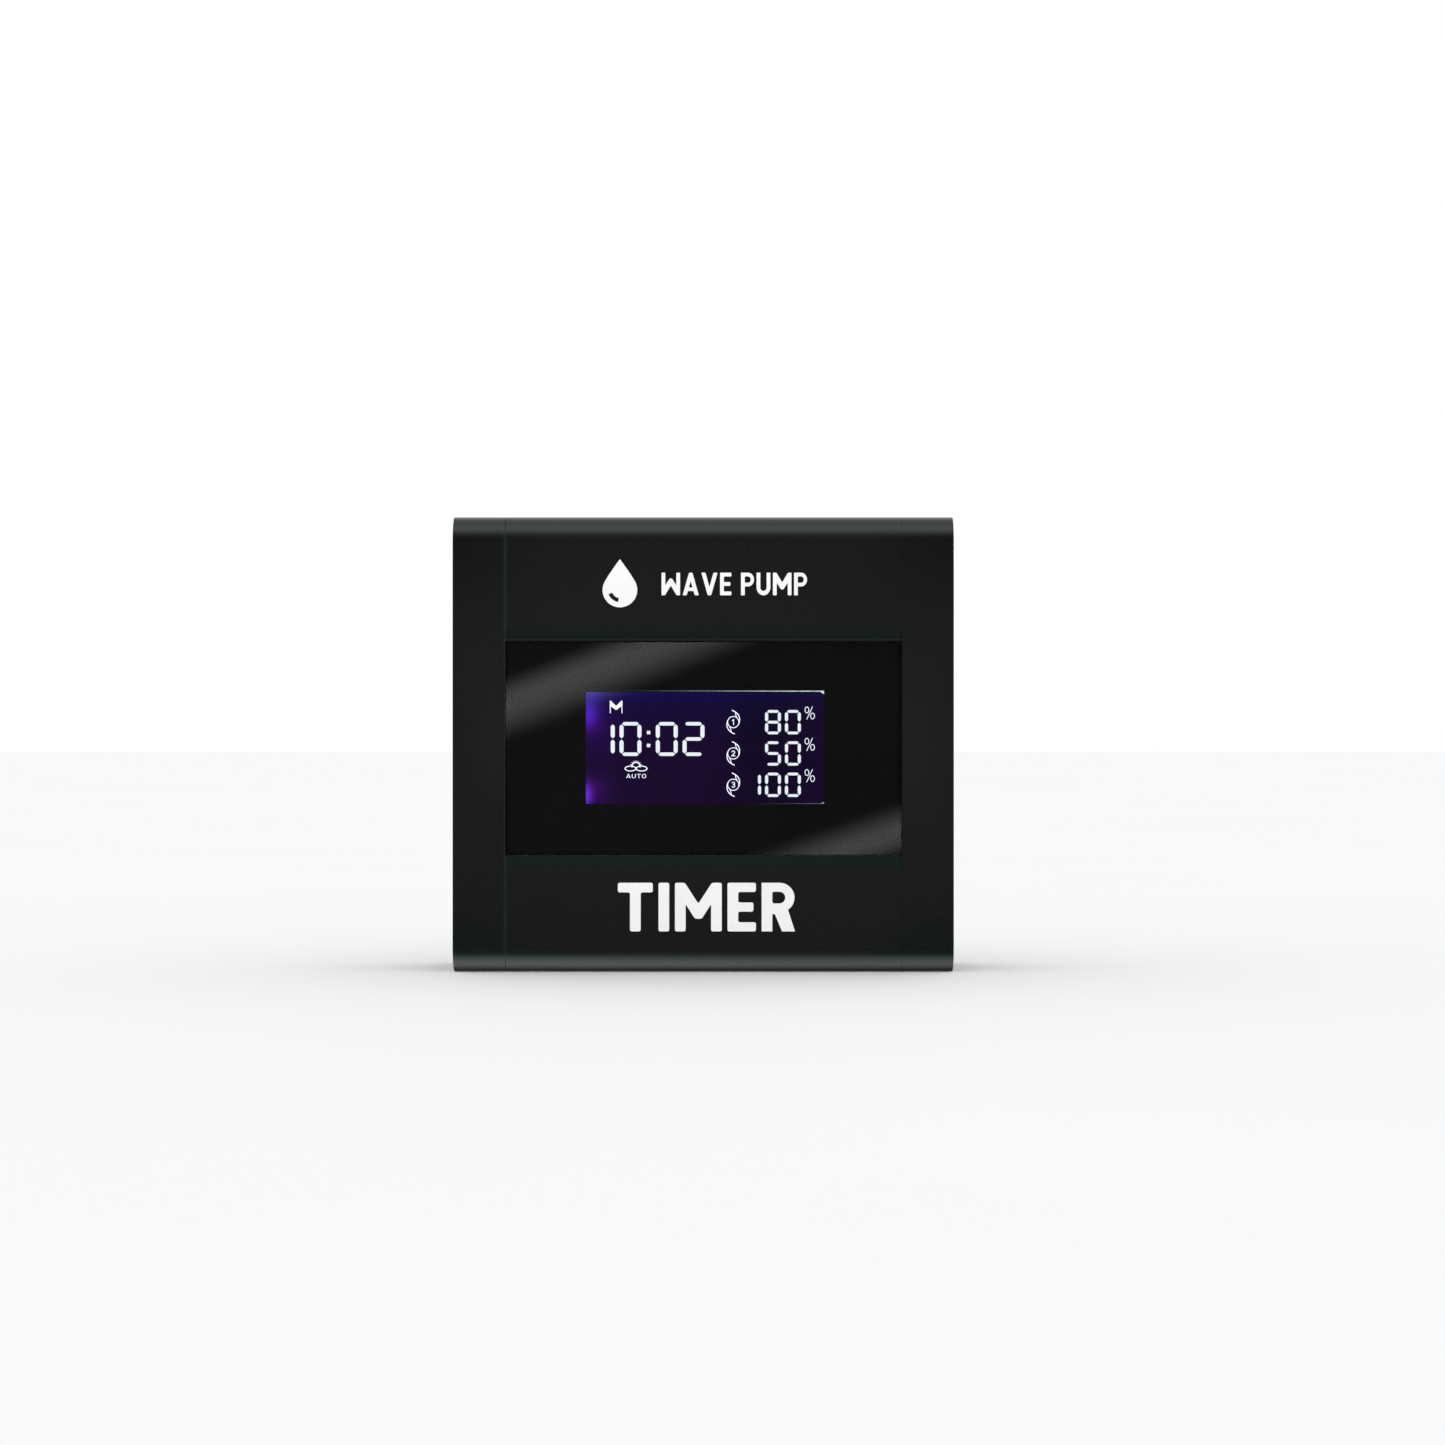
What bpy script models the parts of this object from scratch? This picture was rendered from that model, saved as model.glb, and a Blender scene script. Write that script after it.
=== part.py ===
"""Wave pump controller: a splash-resistant box that shows the time and the speed of three aquarium wave pumps.

An extruded sleeve, open at the front for the display window, is closed by two moulded end caps. The left cap
carries the power jack, the pairing button and the coin cell tray; the right cap carries three pump sockets. A
display board and a main board slide in along the sleeve's rails.

Units are metres. X runs to the viewer's right, Y from the front face to the rear, Z up. The origin is under
the middle of the case, on the surface it stands on.
"""

import math

import bmesh
import bpy
from mathutils import Matrix, Vector

MM = 0.001

# Driving dimensions of the case.
WIDTH = 100.0 * MM
HEIGHT = 91.0 * MM
CASE_DEPTH = 34.0 * MM
PAD_THICKNESS = 1.0 * MM
CORNER_RADIUS = 5.5 * MM
CAP_LENGTH = 10.6 * MM
WALL = 2.2 * MM
REAR_WALL = 2.4 * MM
END_WALL = 2.5 * MM
GAP = 0.3 * MM
TIGHT = 0.1 * MM

FRONT = -(CASE_DEPTH + PAD_THICKNESS) / 2
REAR = FRONT + CASE_DEPTH
MIDDLE = FRONT + CASE_DEPTH / 2
END = WIDTH / 2
SLEEVE_END = END - CAP_LENGTH
CAP_START = SLEEVE_END + GAP
CAP_INSIDE = END - END_WALL

# The window opening in the front of the sleeve, and its groove.
OPENING_LOW = 23.3 * MM
OPENING_HIGH = 66.1 * MM
LIP_RAMP = 3.4 * MM
LIP_SET_BACK = 0.35 * MM
GROOVE_FRONT = 1.4 * MM
GROOVE_REAR = 2.8 * MM
GROOVE_REACH = 1.8 * MM
REAR_LIP = 4.0 * MM
REAR_LIP_HEIGHT = 3.0 * MM
LIP_ROOT = 4.6 * MM

# Depths behind the front face.
WINDOW_FRONT = 0.5 * MM
WINDOW_REAR = 2.5 * MM
WINDOW_CHAMFER = 0.4 * MM
TONGUE_FRONT = 1.7 * MM
TONGUE_REACH = 1.5 * MM
MASK_FRONT = 2.8 * MM
MASK_THICKNESS = 0.3 * MM
FRAME_FRONT = 3.4 * MM
FRAME_FLANGE = 0.6 * MM
GLASS_FRONT = 4.3 * MM
GLASS_THICKNESS = 2.0 * MM
BACKLIGHT_FRONT = 6.6 * MM
BACKLIGHT_REAR = 8.6 * MM
DISPLAY_BOARD_FRONT = 9.0 * MM
BOARD_THICKNESS = 1.6 * MM
MAIN_BOARD_FRONT = 20.6 * MM
DISPLAY_BOARD_REAR = DISPLAY_BOARD_FRONT + BOARD_THICKNESS
MAIN_BOARD_REAR = MAIN_BOARD_FRONT + BOARD_THICKNESS

# The lit area of the display.
LCD_CENTRE_X = 0.35 * MM
LCD_CENTRE_Z = 44.9 * MM
LCD_WIDTH = 47.6 * MM
LCD_HEIGHT = 22.6 * MM
LCD_FRAME_BORDER = 4.75 * MM
LCD_FRAME_BORDER_Z = 5.7 * MM
LCD_FRAME_WALL = 1.0 * MM
LCD_SIGHT_MARGIN = 0.6 * MM
ZEBRA_HEIGHT = 2.0 * MM

# Rails that hold the main board, and the corner fillings that take the cap screws.
RAIL_THICKNESS = 1.2 * MM
RAIL_HEIGHT = 2.2 * MM
SCREW_INSET = 4.6 * MM
BOSS_RADIUS = 3.0 * MM
BOSS_REACH = 2 * SCREW_INSET + BOSS_RADIUS * math.sqrt(2)
SCREW_HOLE_RADIUS = 1.7 * MM

# Cooling grooves, keyholes and pads of the rear face.
GROOVE_COUNT = 10
GROOVE_PITCH = 4.0 * MM
GROOVE_LOWEST = 24.0 * MM
GROOVE_HALF_WIDTH = 0.8 * MM
GROOVE_FLOOR_HALF = 0.5 * MM
GROOVE_DEPTH = 1.0 * MM
KEYHOLE_X = 25.0 * MM
KEYHOLE_Z = 71.0 * MM
KEYHOLE_HEAD_RADIUS = 4.25 * MM
KEYHOLE_SLOT_RADIUS = 2.4 * MM
KEYHOLE_RISE = 6.0 * MM
UPPER_PAD = ((-18.0 * MM, 72.0 * MM), (18.0 * MM, 78.0 * MM))
LOWER_PAD = ((-30.0 * MM, 9.0 * MM), (30.0 * MM, 15.0 * MM))

# Gasket between each cap and the sleeve.
REBATE_INSET = 0.9 * MM
REBATE_DEPTH = 1.2 * MM
GASKET_INSET = 1.2 * MM
GASKET_WIDTH = 0.8 * MM
GASKET_THICKNESS = 0.9 * MM

# Cap screws: countersunk, with a cross recess.
HEAD_RADIUS = 2.7 * MM
HEAD_SUNK = 0.25 * MM
HEAD_RIM = 0.3 * MM
SHANK_RADIUS = 1.4 * MM
SCREW_LENGTH = 18.0 * MM
SINK_RADIUS = 3.1 * MM
SINK_RIM = 0.7 * MM
RECESS_WIDTH = 0.8 * MM
RECESS_LENGTH = 3.0 * MM
RECESS_DEPTH = 1.0 * MM

# Pump sockets, from the end face inwards.
SOCKET_HEIGHTS = (68.5 * MM, 45.5 * MM, 22.5 * MM)
SOCKET_RADIUS = 6.0 * MM
SOCKET_BORE = 4.6 * MM
SOCKET_LENGTH = 14.0 * MM
SOCKET_FLANGE_RADIUS = 7.5 * MM
FLANGE_THICKNESS = 1.5 * MM
CONTACT_DISC_DEPTH = 10.0 * MM
CONTACT_PIN_RADIUS = 0.5 * MM
CONTACT_PIN_LENGTH = 5.0 * MM
CONTACT_CIRCLE = 2.2 * MM
SOCKET_KEY_WIDTH = 1.6 * MM
SOCKET_KEY_HEIGHT = 0.9 * MM
LUG_HALF_WIDTH = 3.0 * MM
LUG_THICKNESS = 0.7 * MM
SOCKET_LUG_END = 29.0 * MM

# Power jack.
JACK_Z = 20.0 * MM
JACK_RADIUS = 5.5 * MM
JACK_BORE = 3.2 * MM
JACK_LENGTH = 11.5 * MM
JACK_FLANGE_RADIUS = 7.0 * MM
JACK_DISC_DEPTH = 9.0 * MM
JACK_PIN_RADIUS = 1.05 * MM
JACK_PIN_LENGTH = 7.5 * MM
JACK_LUG_END = 33.0 * MM

# Pairing button and its switch.
BUTTON_Z = 68.0 * MM
BUTTON_RADIUS = 3.0 * MM
BUTTON_SUNK = 0.2 * MM
BUTTON_TRAVEL = 0.8 * MM
BUTTON_FLANGE_RADIUS = 4.2 * MM
BUTTON_FLANGE_DEPTH = 2.9 * MM
BUTTON_FLANGE = 0.8 * MM
BUTTON_DISH = 0.35 * MM
STEM_RADIUS = 1.5 * MM
STEM_END = 11.4 * MM
SWITCH_SIZE = 6.0 * MM
SWITCH_DEPTH = 3.6 * MM
PLUNGER_RADIUS = 1.5 * MM
PLUNGER_LENGTH = 0.8 * MM

# Coin cell tray.
TRAY_Z = 45.5 * MM
TRAY_WIDTH = 24.0 * MM
TRAY_THICKNESS = 4.8 * MM
TRAY_LENGTH = 26.6 * MM
TRAY_FACE_WIDTH = 28.0 * MM
TRAY_FACE_HEIGHT = 6.8 * MM
TRAY_FACE_THICKNESS = 0.9 * MM
TRAY_FACE_RECESS = 1.2 * MM
CELL_RADIUS = 10.0 * MM
CELL_THICKNESS = 3.2 * MM
CELL_CAP_RADIUS = 8.6 * MM
CELL_CAP_STEP = 0.35 * MM
CELL_X = -34.3 * MM
CELL_FLOOR = 1.0 * MM
NOTCH_RADIUS = 3.4 * MM
NOTCH_DEPTH = 0.45 * MM
HOLDER_WALL = 1.7 * MM
HOLDER_FLOOR = 0.6 * MM
HOLDER_START = -46.0 * MM
CONTACT_STRIP_HALF = 2.0 * MM
CONTACT_STRIP_REACH = 19.0 * MM

# Boards and what is on them.
DISPLAY_BOARD_BOX = ((-36.0 * MM, 10.0 * MM), (36.0 * MM, 80.0 * MM))
MAIN_BOARD_BOX = ((-37.5 * MM, 2.5 * MM), (33.0 * MM, 88.5 * MM))
STANDOFF_X = 32.0 * MM
STANDOFF_LEVELS = (14.0 * MM, 76.0 * MM)
STANDOFF_RADIUS = 2.9 * MM
STANDOFF_BORE = 1.55 * MM
STANDOFF_BORE_DEPTH = 6.4 * MM
BOARD_HOLE = 1.6 * MM
BOARD_SCREW_HEAD = 2.6 * MM
BOARD_SCREW_HEAD_HEIGHT = 1.6 * MM
BOARD_SCREW_SHANK = 1.25 * MM
BOARD_SCREW_LENGTH = 6.0 * MM
HEADER_BOX = ((4.0 * MM, 14.0 * MM), (24.0 * MM, 19.0 * MM))
CONTROLLER_BOX = ((-8.0 * MM, 65.0 * MM), (2.0 * MM, 75.0 * MM))
CONTROLLER_THICKNESS = 1.4 * MM
RADIO_BOX = ((8.0 * MM, 65.0 * MM), (24.0 * MM, 77.0 * MM))
RADIO_BOARD = 0.8 * MM
RADIO_CAN_THICKNESS = 1.8 * MM
RADIO_CAN_MARGIN = 1.0 * MM
DRIVER_X = 27.0 * MM
DRIVER_SIZE = (6.0 * MM, 5.0 * MM)
DRIVER_THICKNESS = 1.5 * MM
INDUCTOR_X = 12.0 * MM
INDUCTOR_SIZE = 8.0 * MM
INDUCTOR_THICKNESS = 5.0 * MM
INDUCTOR_CORNER = 1.5 * MM
CAPACITOR_XS = (-28.0 * MM, -17.0 * MM, -6.0 * MM)
CAPACITOR_RADIUS = 4.0 * MM
CAPACITOR_FOOT = 10.0 * MM
CAPACITOR_LENGTH = 12.0 * MM
FUSE_RADIUS = 2.6 * MM
FUSE_NECK = 2.2 * MM
FUSE_CAP = 4.0 * MM
FUSE_START = -34.0 * MM
FUSE_LENGTH = 15.0 * MM
FUSE_Z = 34.0 * MM

ROUND_STEPS = 24
FINE_STEPS = 32
CORNER_STEPS = 6


# ---------------------------------------------------------------- materials

MATERIALS = {
    "case_black": ((0.012, 0.013, 0.013), 0.42, 0.0),
    "window_clear": ((0.02, 0.02, 0.022), 0.05, 0.0),
    "mask_black": ((0.004, 0.004, 0.004), 0.3, 0.0),
    "lcd_violet": ((0.012, 0.007, 0.035), 0.15, 0.0),
    "lcd_frame_black": ((0.015, 0.015, 0.015), 0.55, 0.0),
    "backlight_white": ((0.8, 0.82, 0.88), 0.4, 0.0),
    "board_green": ((0.01, 0.09, 0.035), 0.45, 0.0),
    "chip_black": ((0.02, 0.02, 0.022), 0.5, 0.0),
    "steel_black": ((0.03, 0.03, 0.032), 0.35, 0.9),
    "steel_bright": ((0.6, 0.6, 0.58), 0.3, 1.0),
    "brass_gold": ((0.75, 0.55, 0.22), 0.28, 1.0),
    "socket_black": ((0.018, 0.018, 0.018), 0.38, 0.0),
    "rubber_black": ((0.016, 0.016, 0.016), 0.85, 0.0),
    "button_grey": ((0.12, 0.12, 0.125), 0.5, 0.0),
    "capacitor_blue": ((0.02, 0.03, 0.1), 0.4, 0.0),
    "glass_clear": ((0.7, 0.72, 0.72), 0.1, 0.0),
}


def material(name):
    """The Principled material of that name, made once."""
    found = bpy.data.materials.get(name)
    if found:
        return found
    colour, roughness, metallic = MATERIALS[name]
    made = bpy.data.materials.new(name)
    made.use_nodes = True
    shader = made.node_tree.nodes["Principled BSDF"]
    shader.inputs["Base Color"].default_value = (*colour, 1.0)
    shader.inputs["Roughness"].default_value = roughness
    shader.inputs["Metallic"].default_value = metallic
    made.diffuse_color = (*colour, 1.0)
    return made


# ---------------------------------------------------------------- shapes


def behind(depth):
    """The Y of a plane that lies this far behind the front face."""
    return FRONT + depth


def arc(centre, radius, start, end, steps=CORNER_STEPS):
    """Points of an arc, in degrees, both ends included."""
    angles = [math.radians(start + (end - start) * i / steps) for i in range(steps + 1)]
    return [(centre[0] + radius * math.cos(a), centre[1] + radius * math.sin(a)) for a in angles]


def rectangle(low, high):
    return [low, (high[0], low[1]), high, (low[0], high[1])]


def rounded(low, high, radius, steps=CORNER_STEPS):
    """A rectangle with round corners."""
    (x0, y0), (x1, y1) = low, high
    corners = (
        ((x1 - radius, y0 + radius), -90),
        ((x1 - radius, y1 - radius), 0),
        ((x0 + radius, y1 - radius), 90),
        ((x0 + radius, y0 + radius), 180),
    )
    return [point for centre, turn in corners for point in arc(centre, radius, turn, turn + 90, steps)]


def add_object(name, mesh, look):
    mesh.materials.append(material(look))
    made = bpy.data.objects.new(name, mesh)
    bpy.context.scene.collection.objects.link(made)
    return made


def finish_mesh(name, shape, smooth_angle=35):
    """Closes a bmesh into a mesh whose faces point out, smooth round its curves."""
    bmesh.ops.recalc_face_normals(shape, faces=shape.faces)
    mesh = bpy.data.meshes.new(name)
    shape.to_mesh(mesh)
    shape.free()
    mesh.shade_smooth()
    mesh.set_sharp_from_angle(angle=math.radians(smooth_angle))
    return mesh


def prism(name, outline, axis, low, high, look):
    """An outline extruded along an axis. The outline's two coordinates are the other two axes, in X, Y, Z order."""
    place = {
        "X": lambda u, v: Vector((low, u, v)),
        "Y": lambda u, v: Vector((u, low, v)),
        "Z": lambda u, v: Vector((u, v, low)),
    }[axis]
    travel = {"X": (high - low, 0, 0), "Y": (0, high - low, 0), "Z": (0, 0, high - low)}[axis]
    shape = bmesh.new()
    face = shape.faces.new([shape.verts.new(place(u, v)) for u, v in outline])
    grown = bmesh.ops.extrude_face_region(shape, geom=[face])
    moved = [item for item in grown["geom"] if isinstance(item, bmesh.types.BMVert)]
    bmesh.ops.translate(shape, verts=moved, vec=travel)
    return add_object(name, finish_mesh(name, shape), look)


def block(name, low, high, look):
    """A box between two corners."""
    return prism(name, rectangle(low[:2], high[:2]), "Z", low[2], high[2], look)


def turned(name, profile, turn, look, steps=ROUND_STEPS):
    """A solid of revolution. The profile holds (radius, distance along the axis); turn places its +Z axis."""
    shape = bmesh.new()
    rings = []
    for radius, along in profile:
        angles = [math.tau * i / steps for i in range(steps)] if radius > 0 else [0.0]
        rings.append(
            [shape.verts.new((radius * math.cos(a), radius * math.sin(a), along)) for a in angles]
        )
    pairs = list(zip(rings, rings[1:]))
    if profile[0][0] > 0:
        pairs.append((rings[-1], rings[0]))
    for first, second in pairs:
        for i in range(steps):
            j = (i + 1) % steps
            corners = [first[i % len(first)], first[j % len(first)]]
            corners += [second[j % len(second)], second[i % len(second)]]
            shape.faces.new(list(dict.fromkeys(corners)))
    bmesh.ops.transform(shape, matrix=turn, verts=shape.verts)
    return add_object(name, finish_mesh(name, shape), look)


def inwards(side, y, z):
    """Places a turned shape on an end cap: its axis starts at the end face and runs into the case."""
    start = Matrix.Translation((side * END, y, z))
    return start @ Matrix.Rotation(math.radians(-90 * side), 4, "Y")


def rearwards(x, y, z):
    """Places a turned shape with its axis running from the front to the rear."""
    return Matrix.Translation((x, y, z)) @ Matrix.Rotation(math.radians(-90), 4, "X")


def helper(made):
    """Marks an object that only shapes another one."""
    made.hide_render = True
    made.display_type = "WIRE"
    return made


def combine(target, other, operation):
    change = target.modifiers.new(other.name, "BOOLEAN")
    change.operation = operation
    change.solver = "EXACT"
    change.object = helper(other)
    return target


def cut(target, *cutters):
    for cutter in cutters:
        combine(target, cutter, "DIFFERENCE")
    return target


def join(target, *others):
    for other in others:
        combine(target, other, "UNION")
    return target


# ---------------------------------------------------------------- case


def lip(edge, outwards):
    """The window lip from its front edge to the inner wall, as (depth, height). outwards is 1 above the window, -1 below."""
    return [
        (LIP_SET_BACK, edge),
        (GROOVE_FRONT, edge),
        (GROOVE_FRONT, edge + outwards * GROOVE_REACH),
        (GROOVE_REAR, edge + outwards * GROOVE_REACH),
        (GROOVE_REAR, edge),
        (REAR_LIP, edge),
        (REAR_LIP, edge + outwards * REAR_LIP_HEIGHT),
        (WALL, edge + outwards * LIP_ROOT),
    ]


def inner_edge():
    """The sleeve's inside along its floor, from the front wall to the rear wall, as (depth, height above the outer face)."""
    slot_front = MAIN_BOARD_FRONT - GAP
    slot_rear = MAIN_BOARD_REAR + GAP
    rail_rear = slot_rear + RAIL_THICKNESS
    rail_top = WALL + RAIL_HEIGHT
    return [
        (WALL, BOSS_REACH - WALL),
        (BOSS_REACH - WALL, WALL),
        (slot_front - RAIL_THICKNESS, WALL),
        (slot_front - RAIL_THICKNESS, rail_top),
        (slot_front, rail_top),
        (slot_front, WALL),
        (slot_rear, WALL),
        (slot_rear, rail_top),
        (rail_rear, rail_top),
        (rail_rear, BOSS_REACH - (CASE_DEPTH - rail_rear)),
        (CASE_DEPTH - REAR_WALL, BOSS_REACH - REAR_WALL),
    ]


def rear_grooves():
    """The rear face from top to bottom, dipping into each cooling groove."""
    points = []
    for i in reversed(range(GROOVE_COUNT)):
        centre = GROOVE_LOWEST + i * GROOVE_PITCH
        points += [
            (CASE_DEPTH, centre + GROOVE_HALF_WIDTH),
            (CASE_DEPTH - GROOVE_DEPTH, centre + GROOVE_FLOOR_HALF),
            (CASE_DEPTH - GROOVE_DEPTH, centre - GROOVE_FLOOR_HALF),
            (CASE_DEPTH, centre - GROOVE_HALF_WIDTH),
        ]
    return points


def sleeve_outline():
    """The extrusion's cross-section, as (Y, Z)."""
    near, far = CORNER_RADIUS, CASE_DEPTH - CORNER_RADIUS
    low, high = CORNER_RADIUS, HEIGHT - CORNER_RADIUS
    floor = inner_edge()
    ceiling = [(depth, HEIGHT - height) for depth, height in reversed(floor)]
    points = [(0.0, OPENING_HIGH + LIP_RAMP)]
    points += arc((near, high), CORNER_RADIUS, 180, 90)
    points += arc((far, high), CORNER_RADIUS, 90, 0)
    points += rear_grooves()
    points += arc((far, low), CORNER_RADIUS, 0, -90)
    points += arc((near, low), CORNER_RADIUS, -90, -180)
    points.append((0.0, OPENING_LOW - LIP_RAMP))
    points += lip(OPENING_LOW, -1)
    points += floor
    points += ceiling
    points += reversed(lip(OPENING_HIGH, 1))
    return [(behind(depth), height) for depth, height in points]


def keyhole_outline(x):
    """A round hole for a screw head, with a slot for its shank above it."""
    half_angle = math.degrees(math.asin(KEYHOLE_SLOT_RADIUS / KEYHOLE_HEAD_RADIUS))
    head = arc((x, KEYHOLE_Z), KEYHOLE_HEAD_RADIUS, 90 + half_angle, 450 - half_angle, ROUND_STEPS)
    slot = arc((x, KEYHOLE_Z + KEYHOLE_RISE), KEYHOLE_SLOT_RADIUS, 0, 180, CORNER_STEPS)
    return head + slot


def corner_places():
    """(Y, Z) of the four cap screws of one end."""
    ys = (FRONT + SCREW_INSET, REAR - SCREW_INSET)
    zs = (SCREW_INSET, HEIGHT - SCREW_INSET)
    return [(y, z) for z in zs for y in ys]


def make_sleeve():
    sleeve = prism("housing_sleeve", sleeve_outline(), "X", -SLEEVE_END, SLEEVE_END, "case_black")
    for number, (y, z) in enumerate(corner_places(), 1):
        channel = arc((y, z), SCREW_HOLE_RADIUS, 0, 330, 11)
        cut(sleeve, prism(f"screw_channel_{number}", channel, "X", -END, END, "case_black"))
    for side in (-1, 1):
        outline = keyhole_outline(side * KEYHOLE_X)
        name = f"keyhole_cutter_{'left' if side < 0 else 'right'}"
        start = REAR - 2 * REAR_WALL
        cut(sleeve, prism(name, outline, "Y", start, REAR + REAR_WALL, "case_black"))
    return sleeve


def case_outline(inset):
    """The case's outer profile, drawn in by an inset, as (Y, Z)."""
    low = (FRONT + inset, inset)
    high = (REAR - inset, HEIGHT - inset)
    return rounded(low, high, CORNER_RADIUS - inset)


def cap_cavity():
    """The hollow of an end cap, which leaves a pillar for the screw in each corner."""
    y0, y1 = FRONT + WALL, REAR - WALL
    z0, z1 = WALL, HEIGHT - WALL
    reach = BOSS_REACH - 2 * WALL
    return [
        (y0 + reach, z0),
        (y1 - reach, z0),
        (y1, z0 + reach),
        (y1, z1 - reach),
        (y1 - reach, z1),
        (y0 + reach, z1),
        (y0, z1 - reach),
        (y0, z0 + reach),
    ]


def side_span(side, near, far):
    """The X range between two distances from the middle of the case, on its right (1) or left (-1)."""
    return tuple(sorted((side * near, side * far)))


def countersink_profile():
    """The cap's screw hole: a rim, a cone and a clearance hole, measured inwards from the end face."""
    cone = SINK_RADIUS - SCREW_HOLE_RADIUS
    return [
        (0.0, -END_WALL),
        (SINK_RADIUS, -END_WALL),
        (SINK_RADIUS, SINK_RIM),
        (SCREW_HOLE_RADIUS, SINK_RIM + cone),
        (SCREW_HOLE_RADIUS, CAP_LENGTH + END_WALL),
        (0.0, CAP_LENGTH + END_WALL),
    ]


def make_cap(name, side):
    """An end cap with its hollow, gasket rebate and screw holes."""
    low, high = side_span(side, CAP_START, END)
    cap = prism(name, case_outline(0.0), "X", low, high, "case_black")
    low, high = side_span(side, CAP_START - END_WALL, CAP_INSIDE)
    cut(cap, prism(f"{name}_hollow", cap_cavity(), "X", low, high, "case_black"))
    low, high = side_span(side, CAP_START - END_WALL, CAP_START + REBATE_DEPTH)
    cut(cap, prism(f"{name}_rebate", case_outline(REBATE_INSET), "X", low, high, "case_black"))
    for number, (y, z) in enumerate(corner_places(), 1):
        sink = turned(f"{name}_sink_{number}", countersink_profile(), inwards(side, y, z), "case_black")
        cut(cap, sink)
    return cap


def hole_cutter(name, side, z, radius):
    """A round cutter through an end wall."""
    profile = [(0.0, -END_WALL), (radius, -END_WALL), (radius, 2 * END_WALL), (0.0, 2 * END_WALL)]
    return turned(name, profile, inwards(side, MIDDLE, z), "case_black", FINE_STEPS)


def make_left_cap():
    """The left cap: power jack hole, button hole, and the tray's slot inside a shallow recess."""
    cap = make_cap("left_end_cap", -1)
    cut(cap, hole_cutter("jack_hole", -1, JACK_Z, JACK_RADIUS + GAP))
    cut(cap, hole_cutter("button_hole", -1, BUTTON_Z, BUTTON_RADIUS + GAP))
    slot = tray_section(TRAY_WIDTH, TRAY_THICKNESS, GAP, 0.5 * MM)
    low, high = side_span(-1, CAP_INSIDE - END_WALL, END + END_WALL)
    cut(cap, prism("tray_slot", slot, "X", low, high, "case_black"))
    recess = tray_section(TRAY_FACE_WIDTH, TRAY_FACE_HEIGHT, GAP, 1.0 * MM)
    low, high = side_span(-1, END - TRAY_FACE_RECESS, END + END_WALL)
    cut(cap, prism("tray_recess", recess, "X", low, high, "case_black"))
    return cap


def make_right_cap():
    cap = make_cap("right_end_cap", 1)
    for number, z in enumerate(SOCKET_HEIGHTS, 1):
        cut(cap, hole_cutter(f"socket_hole_{number}", 1, z, SOCKET_RADIUS + GAP))
    return cap


def make_gasket(name, side):
    low, high = side_span(side, CAP_START, CAP_START + GASKET_THICKNESS)
    gasket = prism(name, case_outline(GASKET_INSET), "X", low, high, "rubber_black")
    low, high = side_span(side, CAP_START - END_WALL, CAP_START + END_WALL)
    inside = case_outline(GASKET_INSET + GASKET_WIDTH)
    return cut(gasket, prism(f"{name}_inside", inside, "X", low, high, "rubber_black"))


def make_cap_screw(name, side, y, z):
    """A countersunk screw with a cross recess in its head."""
    cone_end = HEAD_SUNK + HEAD_RIM + HEAD_RADIUS - SHANK_RADIUS
    profile = [
        (0.0, HEAD_SUNK),
        (HEAD_RADIUS, HEAD_SUNK),
        (HEAD_RADIUS, HEAD_SUNK + HEAD_RIM),
        (SHANK_RADIUS, cone_end),
        (SHANK_RADIUS, SCREW_LENGTH - SHANK_RADIUS),
        (0.0, SCREW_LENGTH),
    ]
    screw = turned(name, profile, inwards(side, y, z), "steel_black", 16)
    low, high = side_span(side, END - HEAD_SUNK - RECESS_DEPTH, END + END_WALL)
    for label, half_y, half_z in (("a", RECESS_LENGTH, RECESS_WIDTH), ("b", RECESS_WIDTH, RECESS_LENGTH)):
        start = (low, y - half_y / 2, z - half_z / 2)
        end = (high, y + half_y / 2, z + half_z / 2)
        cut(screw, block(f"{name}_recess_{label}", start, end, "steel_black"))
    return screw


def make_pads():
    for name, (low, high) in (("upper_rear_pad", UPPER_PAD), ("lower_rear_pad", LOWER_PAD)):
        outline = rounded(low, high, 1.5 * MM, 4)
        prism(name, outline, "Y", REAR + TIGHT, REAR + PAD_THICKNESS, "rubber_black")


# ---------------------------------------------------------------- display


def make_window():
    """The clear window. A tongue along its top and bottom edges slides in the sleeve's groove."""
    low, high = OPENING_LOW + GAP, OPENING_HIGH - GAP
    points = [
        (WINDOW_FRONT, low + WINDOW_CHAMFER),
        (WINDOW_FRONT, high - WINDOW_CHAMFER),
        (WINDOW_FRONT + WINDOW_CHAMFER, high),
        (TONGUE_FRONT, high),
        (TONGUE_FRONT, OPENING_HIGH + TONGUE_REACH),
        (WINDOW_REAR, OPENING_HIGH + TONGUE_REACH),
        (WINDOW_REAR, OPENING_LOW - TONGUE_REACH),
        (TONGUE_FRONT, OPENING_LOW - TONGUE_REACH),
        (TONGUE_FRONT, low),
        (WINDOW_FRONT + WINDOW_CHAMFER, low),
    ]
    outline = [(behind(depth), height) for depth, height in points]
    end = SLEEVE_END - GAP
    return prism("display_window", outline, "X", -end, end, "window_clear")


def lcd_rectangle(margin_x, margin_z):
    """The lit area grown by a margin on each side, as its lowest and highest (X, Z)."""
    half_x = LCD_WIDTH / 2 + margin_x
    half_z = LCD_HEIGHT / 2 + margin_z
    low = (LCD_CENTRE_X - half_x, LCD_CENTRE_Z - half_z)
    high = (LCD_CENTRE_X + half_x, LCD_CENTRE_Z + half_z)
    return low, high


def plate(name, low, high, front, thickness, look):
    """A flat plate facing the front: its corners are (X, Z), its front a depth behind the front face."""
    start, end = behind(front), behind(front + thickness)
    return prism(name, rectangle(low, high), "Y", start, end, look)


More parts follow.
